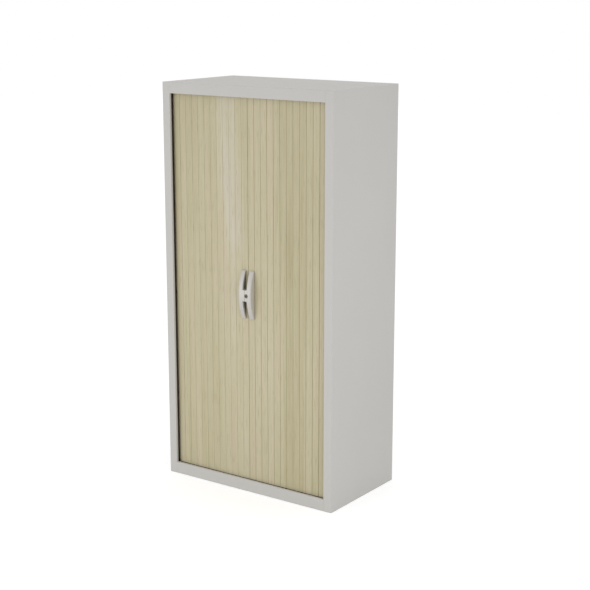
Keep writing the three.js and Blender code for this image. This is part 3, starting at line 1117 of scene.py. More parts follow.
@dataclass(frozen=True)
class Layout:
    """Places that several sub-assemblies share, as the frame has them."""

    width: float = 800.0
    height: float = 1595.0
    front: float = -217.7
    back: float = 227.3
    sheet: float = 1.2
    liner_sheet: float = 1.0
    stile: float = 36.0
    top_rail: float = 43.0
    bottom_rail: float = 47.0
    reveal: float = 12.0
    slat_recess: float = 18.0
    path_depth: float = 5.0
    pocket_inset: float = 12.0
    corner: float = 42.0
    liner_offset: float = 8.0
    middle: float = 797.5

    @property
    def side(self) -> float:
        """X of the outer face of the right side."""
        return self.width / 2

    @property
    def opening(self) -> float:
        """X of the right edge of the opening."""
        return self.side - self.stile

    @property
    def slat_face(self) -> float:
        """Y of the slats' faces."""
        return self.front + self.slat_recess

    @property
    def path(self) -> float:
        """Y of the curtain's hinge lines along the front."""
        return self.slat_face + self.path_depth

    @property
    def pocket(self) -> float:
        """X of the curtain's hinge lines along the side."""
        return self.side - self.pocket_inset

    @property
    def bend_start(self) -> Flat:
        """Centre of the curtain's corner, in plan."""
        return self.pocket - self.corner, self.path + self.corner

    @property
    def pan_front(self) -> float:
        """Y of the front edge of the pans, and of the folds behind the frame."""
        return self.front + self.reveal

    @property
    def pan_rear(self) -> float:
        """Y of the inner face of the back panel."""
        return self.back - self.sheet - self.liner_sheet

    @property
    def under_top(self) -> float:
        """Z of the underside of the top sheet."""
        return self.height - self.sheet

    @property
    def pan_top(self) -> float:
        """Z of the upper face of the base pan."""
        return self.bottom_rail - self.reveal

    @property
    def head(self) -> float:
        """Z of the underside of the head pan."""
        return self.height - self.top_rail + self.reveal

    def beside(self, distance: float, offset: float) -> Flat:
        """Gives a point beside the right-hand curtain's path, in plan.

        Args:
            distance: How far along the path from the middle of the cabinet.
            offset: How far outside the path.

        Returns:
            The point.
        """
        x, y = self.bend_start
        bend = self.corner * math.pi / 2
        turn = min(max((distance - x) / self.corner, 0), math.pi / 2)
        along = min(distance, x)
        after = max(distance - x - bend, 0)
        reach = self.corner + offset
        return (along + reach * math.sin(turn), y + after - reach * math.cos(turn))


@dataclass
class Carcass:
    """The outer shell in folded steel: two sides, the top, the bottom rail and the back."""

    shop: Workshop
    at: Layout
    finish: PowderCoat = PowderCoat()
    front_bend: float = 4.0
    rear_bend: float = 2.0
    fold: float = 1.2
    stile_fold: float = 0.9
    foot: float = 20.0
    bend_steps: int = 8
    swage_width: float = 24.0
    swage_spacing: float = 260.0
    swage_end: float = 110.0
    swage_rise: float = 1.2
    swage_shoulder: float = 3.2
    swage_steps: tuple[float, ...] = (0.0, 0.15, 0.35, 0.5, 0.65, 0.85, 1.0)
    seat: float = 0.3

    def side_sheet(self, side: Side) -> Piece:
        """Folds a side: the stile's return, the stile, the side and the rear flange.

        Args:
            side: The hand.

        Returns:
            The folded sheet.
        """
        at = self.at
        run = [
            (at.opening, at.pan_front),
            (at.opening, at.front, self.stile_fold),
            (at.side, at.front, self.front_bend),
            (at.side, at.back, self.rear_bend),
            (at.opening, at.back),
        ]
        outline = thickened(rounded(run, self.bend_steps), at.sheet)
        piece = pulled(side.word + "_side_sheet", outline, 0, at.under_top, Way.UP)
        return mirrored(shade(piece), side)

    def top_sheet(self) -> Piece:
        """Folds the top with its rail and rear flange, and rounds its edges over the sides.

        Returns:
            The folded sheet.
        """
        at = self.at
        steps = self.bend_steps
        crown = arc((at.front + self.fold, at.under_top), self.fold, 180, 90, steps)
        heel = arc((at.back - self.fold, at.under_top), self.fold, 90, 0, steps)
        level = at.height - at.top_rail
        folds = [(at.pan_front, level, self.fold), (at.front, level, self.fold)]
        rail = rounded([(at.pan_front, at.head), *folds, crown[0]], steps)
        inner_rail = [
            (at.front + at.sheet, at.under_top),
            (at.front + at.sheet, level + at.sheet),
            (at.pan_front - at.sheet, level + at.sheet),
            (at.pan_front - at.sheet, at.head),
        ]
        flange = [(at.back, at.head), (at.back - at.sheet, at.head), (at.back - at.sheet, at.under_top)]
        section = [*rail, *crown[1:], *heel, *flange, *inner_rail]
        points: list[Point] = []
        faces: list[list[int]] = []

        def ring(x: float, outline: Sequence[Flat]) -> list[int]:
            """Adds one ring of points.

            Args:
                x: Where it lies.
                outline: Its points, as y and z.

            Returns:
                Their numbers.
            """
            first = len(points)
            points.extend((x, y, z) for y, z in outline)
            return list(range(first, len(points)))

        def bridge(one: list[int], other: list[int]) -> None:
            """Joins two rings with faces."""
            pairs = [*zip(one, other)]
            faces.extend([a, c, d, b] for (a, b), (c, d) in zip(pairs, pairs[1:] + pairs[:1]))

        def plate(front: float, rear: float, share: float) -> list[Flat]:
            """Gives the section of the plate where it lies over a side.

            Args:
                front: Y of its front edge.
                rear: Y of its rear edge.
                share: How thick it still is there.

            Returns:
                The closed outline.
            """
            lift = at.under_top
            nose = [(front + (y - at.front) * share, lift + (z - lift) * share) for y, z in crown]
            tail = [(rear + (y - at.back) * share, lift + (z - lift) * share) for y, z in heel]
            back_in = (rear - at.sheet * share, lift)
            return [*nose, *tail, back_in, (front + at.sheet * share, lift)]

        bridge(ring(-at.opening, section), ring(at.opening, section))
        for sign in (-1, 1):
            faces.append(ring(sign * at.opening, [*rail, *inner_rail]))
            faces.append(ring(sign * at.opening, [heel[-1], *flange]))
            before = ring(sign * at.opening, plate(at.front, at.back, 1))
            for k in range(steps + 1):
                angle = math.pi / 2 * k / steps
                inset = self.front_bend * (1 - math.sin(angle))
                x = at.side - inset
                front = at.front + self.front_bend * (1 - math.cos(angle))
                past = max(0.0, min(1.0, (self.rear_bend - at.side + x) / self.rear_bend))
                rear = at.back - self.rear_bend * (1 - math.sqrt(1 - past**2))
                low = max(0.0, x - (at.side - self.fold)) / self.fold
                here = ring(sign * x, plate(front, rear, math.sqrt(max(0.0, 1 - low * low))))
                bridge(before, here)
                before = here
        return shade(shell("top_sheet", points, faces))

    def rail_sheet(self) -> Piece:
        """Folds the bottom rail with its foot and the lip under the curtain.

        Returns:
            The folded sheet.
        """
        at = self.at
        run = [
            (at.pan_front, at.pan_top - at.sheet),
            (at.pan_front, at.bottom_rail, self.fold),
            (at.front, at.bottom_rail, self.fold),
            (at.front, 0.0, self.fold),
            (at.front + self.foot, 0.0),
        ]
        outline = thickened(rounded(run, self.bend_steps), at.sheet)
        return shade(pulled("bottom_rail_sheet", outline, -at.opening, at.opening, Way.ACROSS))

    def back_sheet(self) -> Piece:
        """Presses two upright swages into the back panel.

        Returns:
            The panel.
        """
        at = self.at
        edge = at.side - self.rear_bend - self.seat
        half = self.swage_width / 2
        across = {-edge, edge}
        for middle in (-self.swage_spacing / 2, self.swage_spacing / 2):
            for share in self.swage_steps:
                reach = half - self.swage_shoulder * share
                across |= {middle - reach, middle + reach}
        low, high = self.swage_end, at.under_top - self.swage_end
        up = {0.0, at.under_top}
        for share in self.swage_steps:
            up |= {low + self.swage_shoulder * share, high - self.swage_shoulder * share}
        columns, rows = sorted(across), sorted(up)

        def press(x: float, z: float) -> float:
            """Gives how far the panel is pressed out.

            Args:
                x: Where the point lies across.
                z: How high it lies.

            Returns:
                The distance.
            """
            inside = min(half - abs(abs(x) - self.swage_spacing / 2), z - low, high - z)
            share = max(0.0, min(1.0, inside / self.swage_shoulder))
            return self.swage_rise * share * share * (3 - 2 * share)

        count, layer = len(columns), len(columns) * len(rows)
        points = [
            (x, y + press(x, z), z)
            for y in (at.back - at.sheet, at.pan_rear)
            for z in rows
            for x in columns
        ]
        faces = []
        for row in range(len(rows) - 1):
            for k in range(count - 1):
                a = row * count + k
                quad = [a, a + 1, a + 1 + count, a + count]
                faces += [quad, [p + layer for p in reversed(quad)]]
        rim = list(range(count))
        rim += [row * count + count - 1 for row in range(1, len(rows))]
        rim += [layer - 1 - k for k in range(1, count)]
        rim += [row * count for row in range(len(rows) - 2, 0, -1)]
        faces += [[a, b, b + layer, a + layer] for a, b in zip(rim, rim[1:] + rim[:1])]
        return shade(shell("back_sheet", points, faces))

    def build(self) -> None:
        """Builds the shell."""
        for side in Side:
            self.shop.fit(self.side_sheet(side), "carcass", self.finish, side.word + "_side_panel")
        self.shop.fit(self.top_sheet(), "carcass", self.finish, "top_panel")
        self.shop.fit(self.rail_sheet(), "carcass", self.finish, "bottom_rail")
        self.shop.fit(self.back_sheet(), "carcass", self.finish, "back_panel")


@dataclass
class Interior:
    """Liners, slotted uprights and hook-in shelves."""

    shop: Workshop
    at: Layout
    finish: PowderCoat = PowderCoat()
    lip: float = 16.0
    hem: float = 12.0
    liner_fold: float = 1.6
    bend_steps: int = 18
    upright_width: float = 24.0
    upright_depth: float = 9.0
    upright_middles: tuple[float, float] = (-125.7, 167.3)
    upright_fold: float = 1.8
    deck: float = 51.0
    deck_lip: float = 16.0
    seat: float = 0.3
    slot_pitch: float = 64.0
    slot_height: float = 9.0
    slot_width: float = 13.0
    slot_first: float = 95.0
    slot_count: int = 22
    shelf_slots: tuple[int, int, int] = (5, 10, 16)
    shelf_half: float = 368.5
    shelf_front: float = -167.7
    shelf_rear: float = 219.1
    shelf_sheet: float = 1.0
    shelf_lip: float = 26.0
    shelf_hem: float = 10.0
    shelf_fold: float = 2.0
    lug: Point = (10.0, 6.0, 6.0)
    lug_root: float = 12.0
    edge_round: float = 0.25

    def liner(self, side: Side) -> Piece:
        """Folds the liner that closes the curtain's pocket.

        Args:
            side: The hand.

        Returns:
            The liner.
        """
        at = self.at
        start = at.bend_start[0]
        bend = at.corner * math.pi / 2
        corner = [
            at.beside(start + bend * k / self.bend_steps, -at.liner_offset)
            for k in range(self.bend_steps + 1)
        ]
        lip_x = start - self.lip
        lip_y = corner[0][1]
        lead = rounded([(lip_x, lip_y + self.hem), (lip_x, lip_y, self.liner_fold), corner[0]])
        run = [*lead, *corner[1:], (corner[-1][0], at.pan_rear - self.seat)]
        outline = thickened(run, at.liner_sheet)
        piece = pulled(side.word + "_pocket_liner", outline, at.pan_top, at.head, Way.UP)
        return mirrored(shade(piece), side)

    def upright_tree(self) -> Tree:
        """Writes the tree that punches the row of slots.

        Returns:
            The tree.
        """
        tree = Tree("slotted_upright")
        count = tree.ask("Slots", int)
        pitch = tree.ask("Pitch", tuple)
        first = tree.ask("First", tuple)
        size = tree.ask("Slot size", tuple)
        coat = tree.ask("Coat", bpy.types.Material)
        keys = {"Count": count, "Start Location": first, "Offset": pitch}
        line = tree.node("GeometryNodeMeshLine", keys)
        punch = tree.node("GeometryNodeMeshCube", {"Size": size})
        keys = {"Points": line.outputs[0], "Instance": punch.outputs[0]}
        row = tree.node("GeometryNodeInstanceOnPoints", keys)
        holes = tree.node("GeometryNodeRealizeInstances", {"Geometry": row.outputs[0]})
        keys = {"Mesh 1": tree.geometry, "Mesh 2": holes.outputs[0]}
        cut = tree.node("GeometryNodeMeshBoolean", keys, operation="DIFFERENCE", solver="EXACT")
        tree.close(cut.outputs[0], coat, smooth=False)
        return tree

    def upright(self, tree: Tree, side: Side, place: str, middle: float) -> Piece:
        """Folds an upright and punches its slots.

        Args:
            tree: The tree that punches the slots.
            side: The hand.
            place: The front or the rear.
            middle: Y of its middle.

        Returns:
            The upright.
        """
        at = self.at
        wall = at.pocket - at.liner_offset - at.liner_sheet
        face = wall - self.upright_depth
        half = self.upright_width / 2
        run = [
            (wall, middle + half),
            (face, middle + half, self.upright_fold),
            (face, middle - half, self.upright_fold),
            (wall, middle - half),
        ]
        outline = thickened(rounded(run), at.sheet)
        name = side.word + "_" + place + "_post"
        piece = pulled(name, outline, self.deck + self.seat, at.head - self.seat, Way.UP)
        tree.grow(
            piece,
            Slots=self.slot_count,
            Pitch=(0.0, 0.0, self.slot_pitch * MM),
            First=(face * MM, middle * MM, (self.slot_first + self.slot_height / 2) * MM),
            Slot_size=(self.upright_depth * MM, self.slot_width * MM, self.slot_height * MM),
            Coat=self.shop.material(self.finish),
        )
        return mirrored(shade(piece), side)

    def tray(self, name: str, top: float, lip: float) -> Piece:
        """Folds a shelf's tray with its lips and hems.

        Args:
            name: Name of the tray.
            top: Z of its upper face.
            lip: Height of its lips.

        Returns:
            The tray.
        """
        run = [
            (self.shelf_rear - self.shelf_hem, top - lip),
            (self.shelf_rear, top - lip, self.shelf_fold),
            (self.shelf_rear, top, self.shelf_fold),
            (self.shelf_front, top, self.shelf_fold),
            (self.shelf_front, top - lip, self.shelf_fold),
            (self.shelf_front + self.shelf_hem, top - lip),
        ]
        outline = thickened(rounded(run), self.shelf_sheet)
        return pulled(name, outline, -self.shelf_half, self.shelf_half, Way.ACROSS)

    def shelf(self, number: int, slot: int) -> Piece:
        """Makes a shelf with its four lugs, which hook into one row of slots.

        Args:
            number: The shelf's number, from the lowest.
            slot: The number of the slots that carry it.

        Returns:
            The shelf.
        """
        low = self.slot_first + slot * self.slot_pitch + self.seat
        width, height, reach = self.lug
        parts = [self.tray("tray", low + height, self.shelf_lip)]
        for middle in self.upright_middles:
            for side in Side:
                root = side.value * (self.shelf_half - self.lug_root)
                tip = side.value * (self.shelf_half + reach)
                corner = (min(root, tip), middle - width / 2, low)
                other = (max(root, tip), middle + width / 2, low + height - self.shelf_sheet)
                parts.append(box("lug", corner, other))
        return shade(merged("shelf_tray_" + str(number), parts), edge=self.edge_round)

    def build(self) -> None:
        """Builds the interior."""
        tree = self.upright_tree()
        for side in Side:
            self.shop.fit(self.liner(side), "carcass", self.finish, side.word + "_liner")
            for place, middle in zip(("front", "rear"), self.upright_middles):
                post = self.upright(tree, side, place, middle)
                self.shop.fit(post, "carcass", self.finish, side.word + "_" + place + "_upright")
        for number, slot in enumerate(self.shelf_slots, 1):
            shelf = self.shelf(number, slot)
            self.shop.fit(shelf, "carcass", self.finish, "shelf_" + str(number))
        deck = shade(self.tray("bottom_tray", self.deck, self.deck_lip), edge=self.edge_round)
        self.shop.fit(deck, "carcass", self.finish, "bottom_shelf")


@dataclass
class Tracks:
    """Grooved plastic tracks, swept along the curtain's path at the floor and at the head."""

    shop: Workshop
    at: Layout
    finish: MouldedPlastic = MouldedPlastic()
    groove_inner: float = -4.0
    groove_outer: float = 6.0
    wall: float = 1.5
    floor: float = 2.0
    rise: float = 12.2
    end: float = 773.8
    lip_round: float = 0.4
    bend_steps: int = 24
    strip_wall: float = 0.85
    strip_nose: float = 4.3
    strip_grip: float = 2.6
    strip_back: float = 5.0
    strip_round: float = 0.35
    strip_end: float = 0.4
    strip_steps: int = 3
    touch: float = 0.04

    def tree(self) -> Tree:
        """Writes the tree that sweeps a profile along a path.

        Returns:
            The tree.
        """
        tree = Tree("swept_track")
        profile = tree.ask("Profile", Piece)
        lip = tree.ask("Lip round", float)
        plastic = tree.ask("Plastic", bpy.types.Material)
        path = tree.node("GeometryNodeMeshToCurve", {"Mesh": tree.geometry})
        level = tree.node("GeometryNodeSetCurveNormal", {"Curve": path.outputs[0]}, mode="Z_UP")
        drawn = tree.node("GeometryNodeObjectInfo", {"Object": profile}).outputs["Geometry"]
        outline = tree.node("GeometryNodeMeshToCurve", {"Mesh": drawn})
        keys = {"Curve": outline.outputs[0], "Count": 2, "Radius": lip}
        soft = tree.node("GeometryNodeFilletCurve", keys, mode="POLY")
        keys = {"Curve": level.outputs[0], "Profile Curve": soft.outputs[0], "Fill Caps": True}
        swept = tree.node("GeometryNodeCurveToMesh", keys)
        tree.close(swept.outputs[0], plastic, smooth=False)
        return tree

    def track(self, tree: Tree, side: Side, level: Level) -> Piece:
        """Sweeps one track.

        Args:
            tree: The tree that sweeps it.
            side: The hand.
            level: The floor or the head.

        Returns:
            The track.
        """
        at = self.at
        base = at.pan_top if level is Level.BOTTOM else at.head
        start = at.bend_start[0]
        bend = at.corner * math.pi / 2
        corner = (start + bend * k / self.bend_steps for k in range(self.bend_steps + 1))
        run = [(*at.beside(distance, 0), base) for distance in (0.0, *corner, self.end)]
        path = wire(side.word + "_" + level.word + "_channel", run)
        outer, inner = self.groove_outer + self.wall, self.groove_inner - self.wall
        section = [
            (outer, 0.0),
            (outer, self.rise),
            (self.groove_outer, self.rise),
            (self.groove_outer, self.floor),
            (self.groove_inner, self.floor),
            (self.groove_inner, self.rise),
            (inner, self.rise),
            (inner, 0.0),
        ]
        profile = wire("track_profile", [(u, -level.value * v, 0.0) for u, v in section], closed=True)
        plastic = self.shop.material(self.finish)
        tree.grow(path, Profile=profile, Lip_round=self.lip_round * MM, Plastic=plastic)
        bpy.data.objects.remove(profile)
        seal(path.data)
        return mirrored(shade(path), side)

    def strip(self, side: Side) -> Piece:
        """Clips a dark strip on a stile's return, as painted shade in the gap by the curtain.

        Args:
            side: The hand.

        Returns:
            The strip.
        """
        at = self.at
        edge = at.pan_front + self.touch
        nose = at.pan_front + self.strip_nose
        inner, outer = at.opening - self.touch, at.opening + at.sheet + self.touch
        run = [
            (inner, edge),
            (inner, edge - self.strip_grip),
            (inner - self.strip_wall, edge - self.strip_grip, self.strip_round),
            (inner - self.strip_wall, nose, self.strip_round),
            (outer + self.strip_wall, nose, self.strip_round),
            (outer + self.strip_wall, edge - self.strip_back, self.strip_round),
            (outer, edge - self.strip_back),
            (outer, edge),
        ]
        low = at.pan_top + self.rise + self.strip_end
        high = at.head - self.rise - self.strip_end
        outline = rounded(run, self.strip_steps)
        return mirrored(shade(pulled(side.word + "_guide_strip", outline, low, high, Way.UP)), side)

    def build(self) -> None:
        """Builds the four tracks, and the two dark strips beside the opening that paint its shade."""
        tree = self.tree()
        for side in Side:
            for level in Level:
                track = self.track(tree, side, level)
                self.shop.fit(track, "carcass", self.finish, side.word + "_" + level.word + "_track")
            # Painted shade: a dark strip deepens the shade of the gap beside each side of the curtain
            self.shop.fit(self.strip(side), "carcass", self.finish)


@dataclass
class Curtain:
    """One leaf's slats, hooked to each other by a bead in a socket."""

    shop: Workshop
    at: Layout
    side: Side
    finish: WoodDecor = WoodDecor()
    pitch: float = 30.0
    count: int = 14
    tail: int = 12
    skin: float = 1.7
    wall: float = 1.2
    seam: float = 0.5
    meeting: float = 1.5
    bead: float = 1.7
    clearance: float = 0.35
    socket_wall: float = 0.95
    mouth_up: float = 25.0
    mouth_down: float = 65.0
    shoulder: float = 135.0
    face_round: float = 0.4
    crown: float = 0.12
    low: float = 38.5
    high: float = 1560.5
    travel: float = 316.0
    gathered: float = 18.0
    gathered_back: float = 2.4
    far: float = 1000.0
    round_steps: int = 4
    face_steps: int = 8
    socket_steps: int = 8
    bore_steps: int = 18
    bead_steps: int = 14
    web_gap: float = 1.0
    sharp: float = 30.0
    halvings: int = 40
    seed: dict[Side, int] = field(default_factory=lambda: {Side.LEFT: 4, Side.RIGHT: 13})
    grain_start: dict[Side, Flat] = field(
        default_factory=lambda: {Side.LEFT: (3.88, 26.0), Side.RIGHT: (51.21, 3.7)}
    )
    # How strongly each leaf's slat edges get painted shade and a painted highlight
    edge_shade: dict[Side, float] = field(default_factory=lambda: {Side.LEFT: 0.15, Side.RIGHT: 0.92})
    # How far each leaf shows the painted reflection above its pull
    sapwood: dict[Side, float] = field(default_factory=lambda: {Side.LEFT: 0.52, Side.RIGHT: 0.0})

    @property
    def body(self) -> str:
        """The body that carries the leaf."""
        return self.side.word + "_leaf"

    def face(self, start: float, stop: float) -> list[Flat]:
        """Gives the slightly crowned face between two rounded edges.

        Args:
            start: X of its leading edge.
            stop: X of its trailing edge.

        Returns:
            The points of the face.
        """
        height = self.at.path_depth
        r = self.face_round
        middle, half = (start + stop) / 2, (stop - start) / 2

        def crowned(x: float) -> float:
            """Gives the face's height at an x."""
            return height - self.crown * ((x - middle) / half) ** 2

        edge = crowned(start)
        left = arc((start + r, edge - r), r, 180, 90, self.round_steps)
        right = arc((stop - r, edge - r), r, 90, 0, self.round_steps)
        span, steps = stop - start - 2 * r, self.face_steps
        inner = [start + r + span * k / steps for k in range(1, steps)]
        return [*left, *((x, crowned(x)) for x in inner), *right]

    def socket(self) -> list[Flat]:
        """Gives the trailing edge: under the face, round the socket and back to the rear wall.

        Returns:
            The points of the edge.
        """
        inner = self.bead + self.clearance
        outer = inner + self.socket_wall
        under = self.at.path_depth - self.skin
        centre, steps = (self.pitch, 0.0), self.socket_steps
        shoulder = arc(centre, outer, self.shoulder, self.mouth_up, steps)
        bore = arc(centre, inner, self.mouth_up, 360 - self.mouth_down, self.bore_steps)
        rear = 180 + math.degrees(math.asin(self.wall / 2 / outer))
        back = arc(centre, outer, 360 - self.mouth_down, rear, steps)
        return [(self.pitch - self.seam / 2, under), (shoulder[0][0], under), *shoulder, *bore, *back]

    def follower_outline(self) -> list[Flat]:
        """Gives the section of a slat with a bead on its leading edge.

        Returns:
            The closed outline.
        """
        half = self.wall / 2
        neck = math.degrees(math.asin(half / self.bead))
        under = self.at.path_depth - self.skin
        web = self.bead + self.clearance + self.socket_wall + self.web_gap
        lead_in = [(web, half), (web, under), (self.seam / 2, under)]
        face = self.face(self.seam / 2, self.pitch - self.seam / 2)
        bead = arc((0.0, 0.0), self.bead, 360 - neck, neck, self.bead_steps)
        return [*face, *self.socket(), *bead, *lead_in]

    def lead_outline(self) -> list[Flat]:
        """Gives the section of the leading slat, closed at the meeting edge."""
        start = self.meeting / 2
        return [*self.face(start, self.pitch - self.seam / 2), *self.socket(), (start, -self.wall / 2)]

    def slat(self, name: str, outline: Sequence[Flat]) -> Piece:
        """Pulls a section up; its face looks to the front, and its hinge line is at the origin."""
        turned_out = [(x, -y) for x, y in outline]
        return shade(pulled(name, turned_out, self.low, self.high, Way.UP), self.sharp)

    def hinges(self) -> list[tuple[Flat, float]]:
        """Finds where each slat's hinge line lies on the path.

        Returns:
            Each hinge line in plan, and the angle that its slat is turned by.
        """
        found = []
        distance = 0.0
        for _ in range(self.count):
            here = Vector(self.at.beside(distance, 0))
            near, far = distance + self.pitch / 2, distance + self.pitch * 3 / 2
            for _ in range(self.halvings):
                middle = (near + far) / 2
                if (Vector(self.at.beside(middle, 0)) - here).length < self.pitch:
                    near = middle
                else:
                    far = middle
            there = Vector(self.at.beside(near, 0))
            found.append((tuple(here), math.atan2(there.y - here.y, there.x - here.x)))
            distance = near
        return found

    def tree(self) -> Tree:
        """Writes the tree that hangs a slat on each hinge line and marks its grain.

        Returns:
            The tree.
        """
        tree = Tree(self.side.word + "_slats")
        slat = tree.ask("Slat", Piece)
        pitch = tree.ask("Pitch", float)
        start = tree.ask("First slat", float)
        shift = tree.ask("Grain shift", tuple)
        edge = tree.ask("Edge shade", float)
        # How far this leaf shows the painted reflection
        sap = tree.ask("Sapwood", float)
        seed = tree.ask("Seed", int)
        foil = tree.ask("Foil", bpy.types.Material)
        drawn = tree.node("GeometryNodeObjectInfo", {"Object": slat}).outputs["Geometry"]
        place = tree.node("GeometryNodeInputPosition").outputs[0]
        marked = tree.store(drawn, "grain", "FLOAT_VECTOR", "POINT", place)
        across = tree.node("ShaderNodeSeparateXYZ", {0: place}).outputs[0]
        marked = tree.store(marked, "across", "FLOAT", "POINT", across)
        marked = tree.store(marked, "edge", "FLOAT", "POINT", edge)
        marked = tree.store(marked, "sap", "FLOAT", "POINT", sap)
        turn = tree.node("ShaderNodeCombineXYZ", {"Z": tree.named("turn", "FLOAT")}).outputs[0]
        spin = tree.node("FunctionNodeEulerToRotation", {0: turn}).outputs[0]
        keys = {"Points": tree.geometry, "Instance": marked, "Rotation": spin}
        hung = tree.node("GeometryNodeInstanceOnPoints", keys).outputs[0]
        index = tree.node("GeometryNodeInputIndex").outputs[0]
        number = tree.node("ShaderNodeMath", {0: index, 1: start}, operation="ADD").outputs[0]
        along = tree.node("ShaderNodeMath", {0: number, 1: pitch}, operation="MULTIPLY").outputs[0]
        hung = tree.store(hung, "along", "FLOAT", "INSTANCE", along)
        # The sockets 2 and 3 are the lowest and the highest value of a random float
        keys = {2: -1.0, 3: 1.0, "ID": number, "Seed": seed}
        tone = tree.node("FunctionNodeRandomValue", keys, data_type="FLOAT").outputs[1]
        hung = tree.store(hung, "tone", "FLOAT", "INSTANCE", tone)
        real = tree.node("GeometryNodeRealizeInstances", {"Geometry": hung}).outputs[0]
        reach = tree.node("ShaderNodeCombineXYZ", {"X": tree.named("along", "FLOAT")}).outputs[0]
        offset = tree.node("ShaderNodeVectorMath", {0: reach, 1: shift}, operation="ADD").outputs[0]
        keys = {0: tree.named("grain", "FLOAT_VECTOR"), 1: offset}
        grain = tree.node("ShaderNodeVectorMath", keys, operation="ADD").outputs[0]
        tree.close(tree.store(real, "grain", "FLOAT_VECTOR", "POINT", grain), foil)
        return tree

    def hang(self, name: str, tree: Tree, outline: Sequence[Flat], first: int, last: int) -> Piece:
        """Hangs a row of slats.

        Args:
            name: Name of the piece.
            tree: The tree that places them.
            outline: Their section.
            first: Number of the first slat, from 0 at the middle.
            last: Number after the last slat.

        Returns:
            The slats as one piece.
        """
        places = self.hinges()[first:last]
        row = wire(name, [(*point, 0.0) for point, _ in places])
        turn = row.data.attributes.new("turn", "FLOAT", "POINT")
        turn.data.foreach_set("value", [angle for _, angle in places])
        pattern = self.slat("slat_pattern", outline)
        grain_x, grain_z = self.grain_start[self.side]
        tree.grow(
            row,
            Slat=pattern,
            Pitch=self.pitch * MM,
            First_slat=float(first),
            Grain_shift=(grain_x, 0.0, grain_z),
            Edge_shade=self.edge_shade[self.side],
            Sapwood=self.sapwood[self.side],
            Seed=self.seed[self.side],
            Foil=self.shop.material(self.finish),
        )
        bpy.data.objects.remove(pattern)
        return mirrored(row, self.side)

    def nodes(self, first: int, last: int) -> list[str]:
        """Gives the names of the nodes of a row of slats behind the leading one."""
        return [self.side.word + "_slat_" + str(k + 1).zfill(2) for k in range(first, last)]

    def build(self) -> None:
        """Builds the leading slat, the slats of the front and the tail round the corner."""
        tree = self.tree()
        word = self.side.word
        lead = self.hang(word + "_lead_board", tree, self.lead_outline(), 0, 1)
        self.shop.fit(lead, self.body, self.finish, word + "_lead_slat")
        front = self.hang(word + "_curtain", tree, self.follower_outline(), 1, self.tail)
        self.shop.fit(front, self.body, self.finish, *self.nodes(1, self.tail))
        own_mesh(front)
        tail = self.hang(word + "_curtain_tail", tree, self.follower_outline(), self.tail, self.count)
        self.shop.fit(tail, self.body, self.finish, *self.nodes(self.tail, self.count))
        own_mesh(tail)


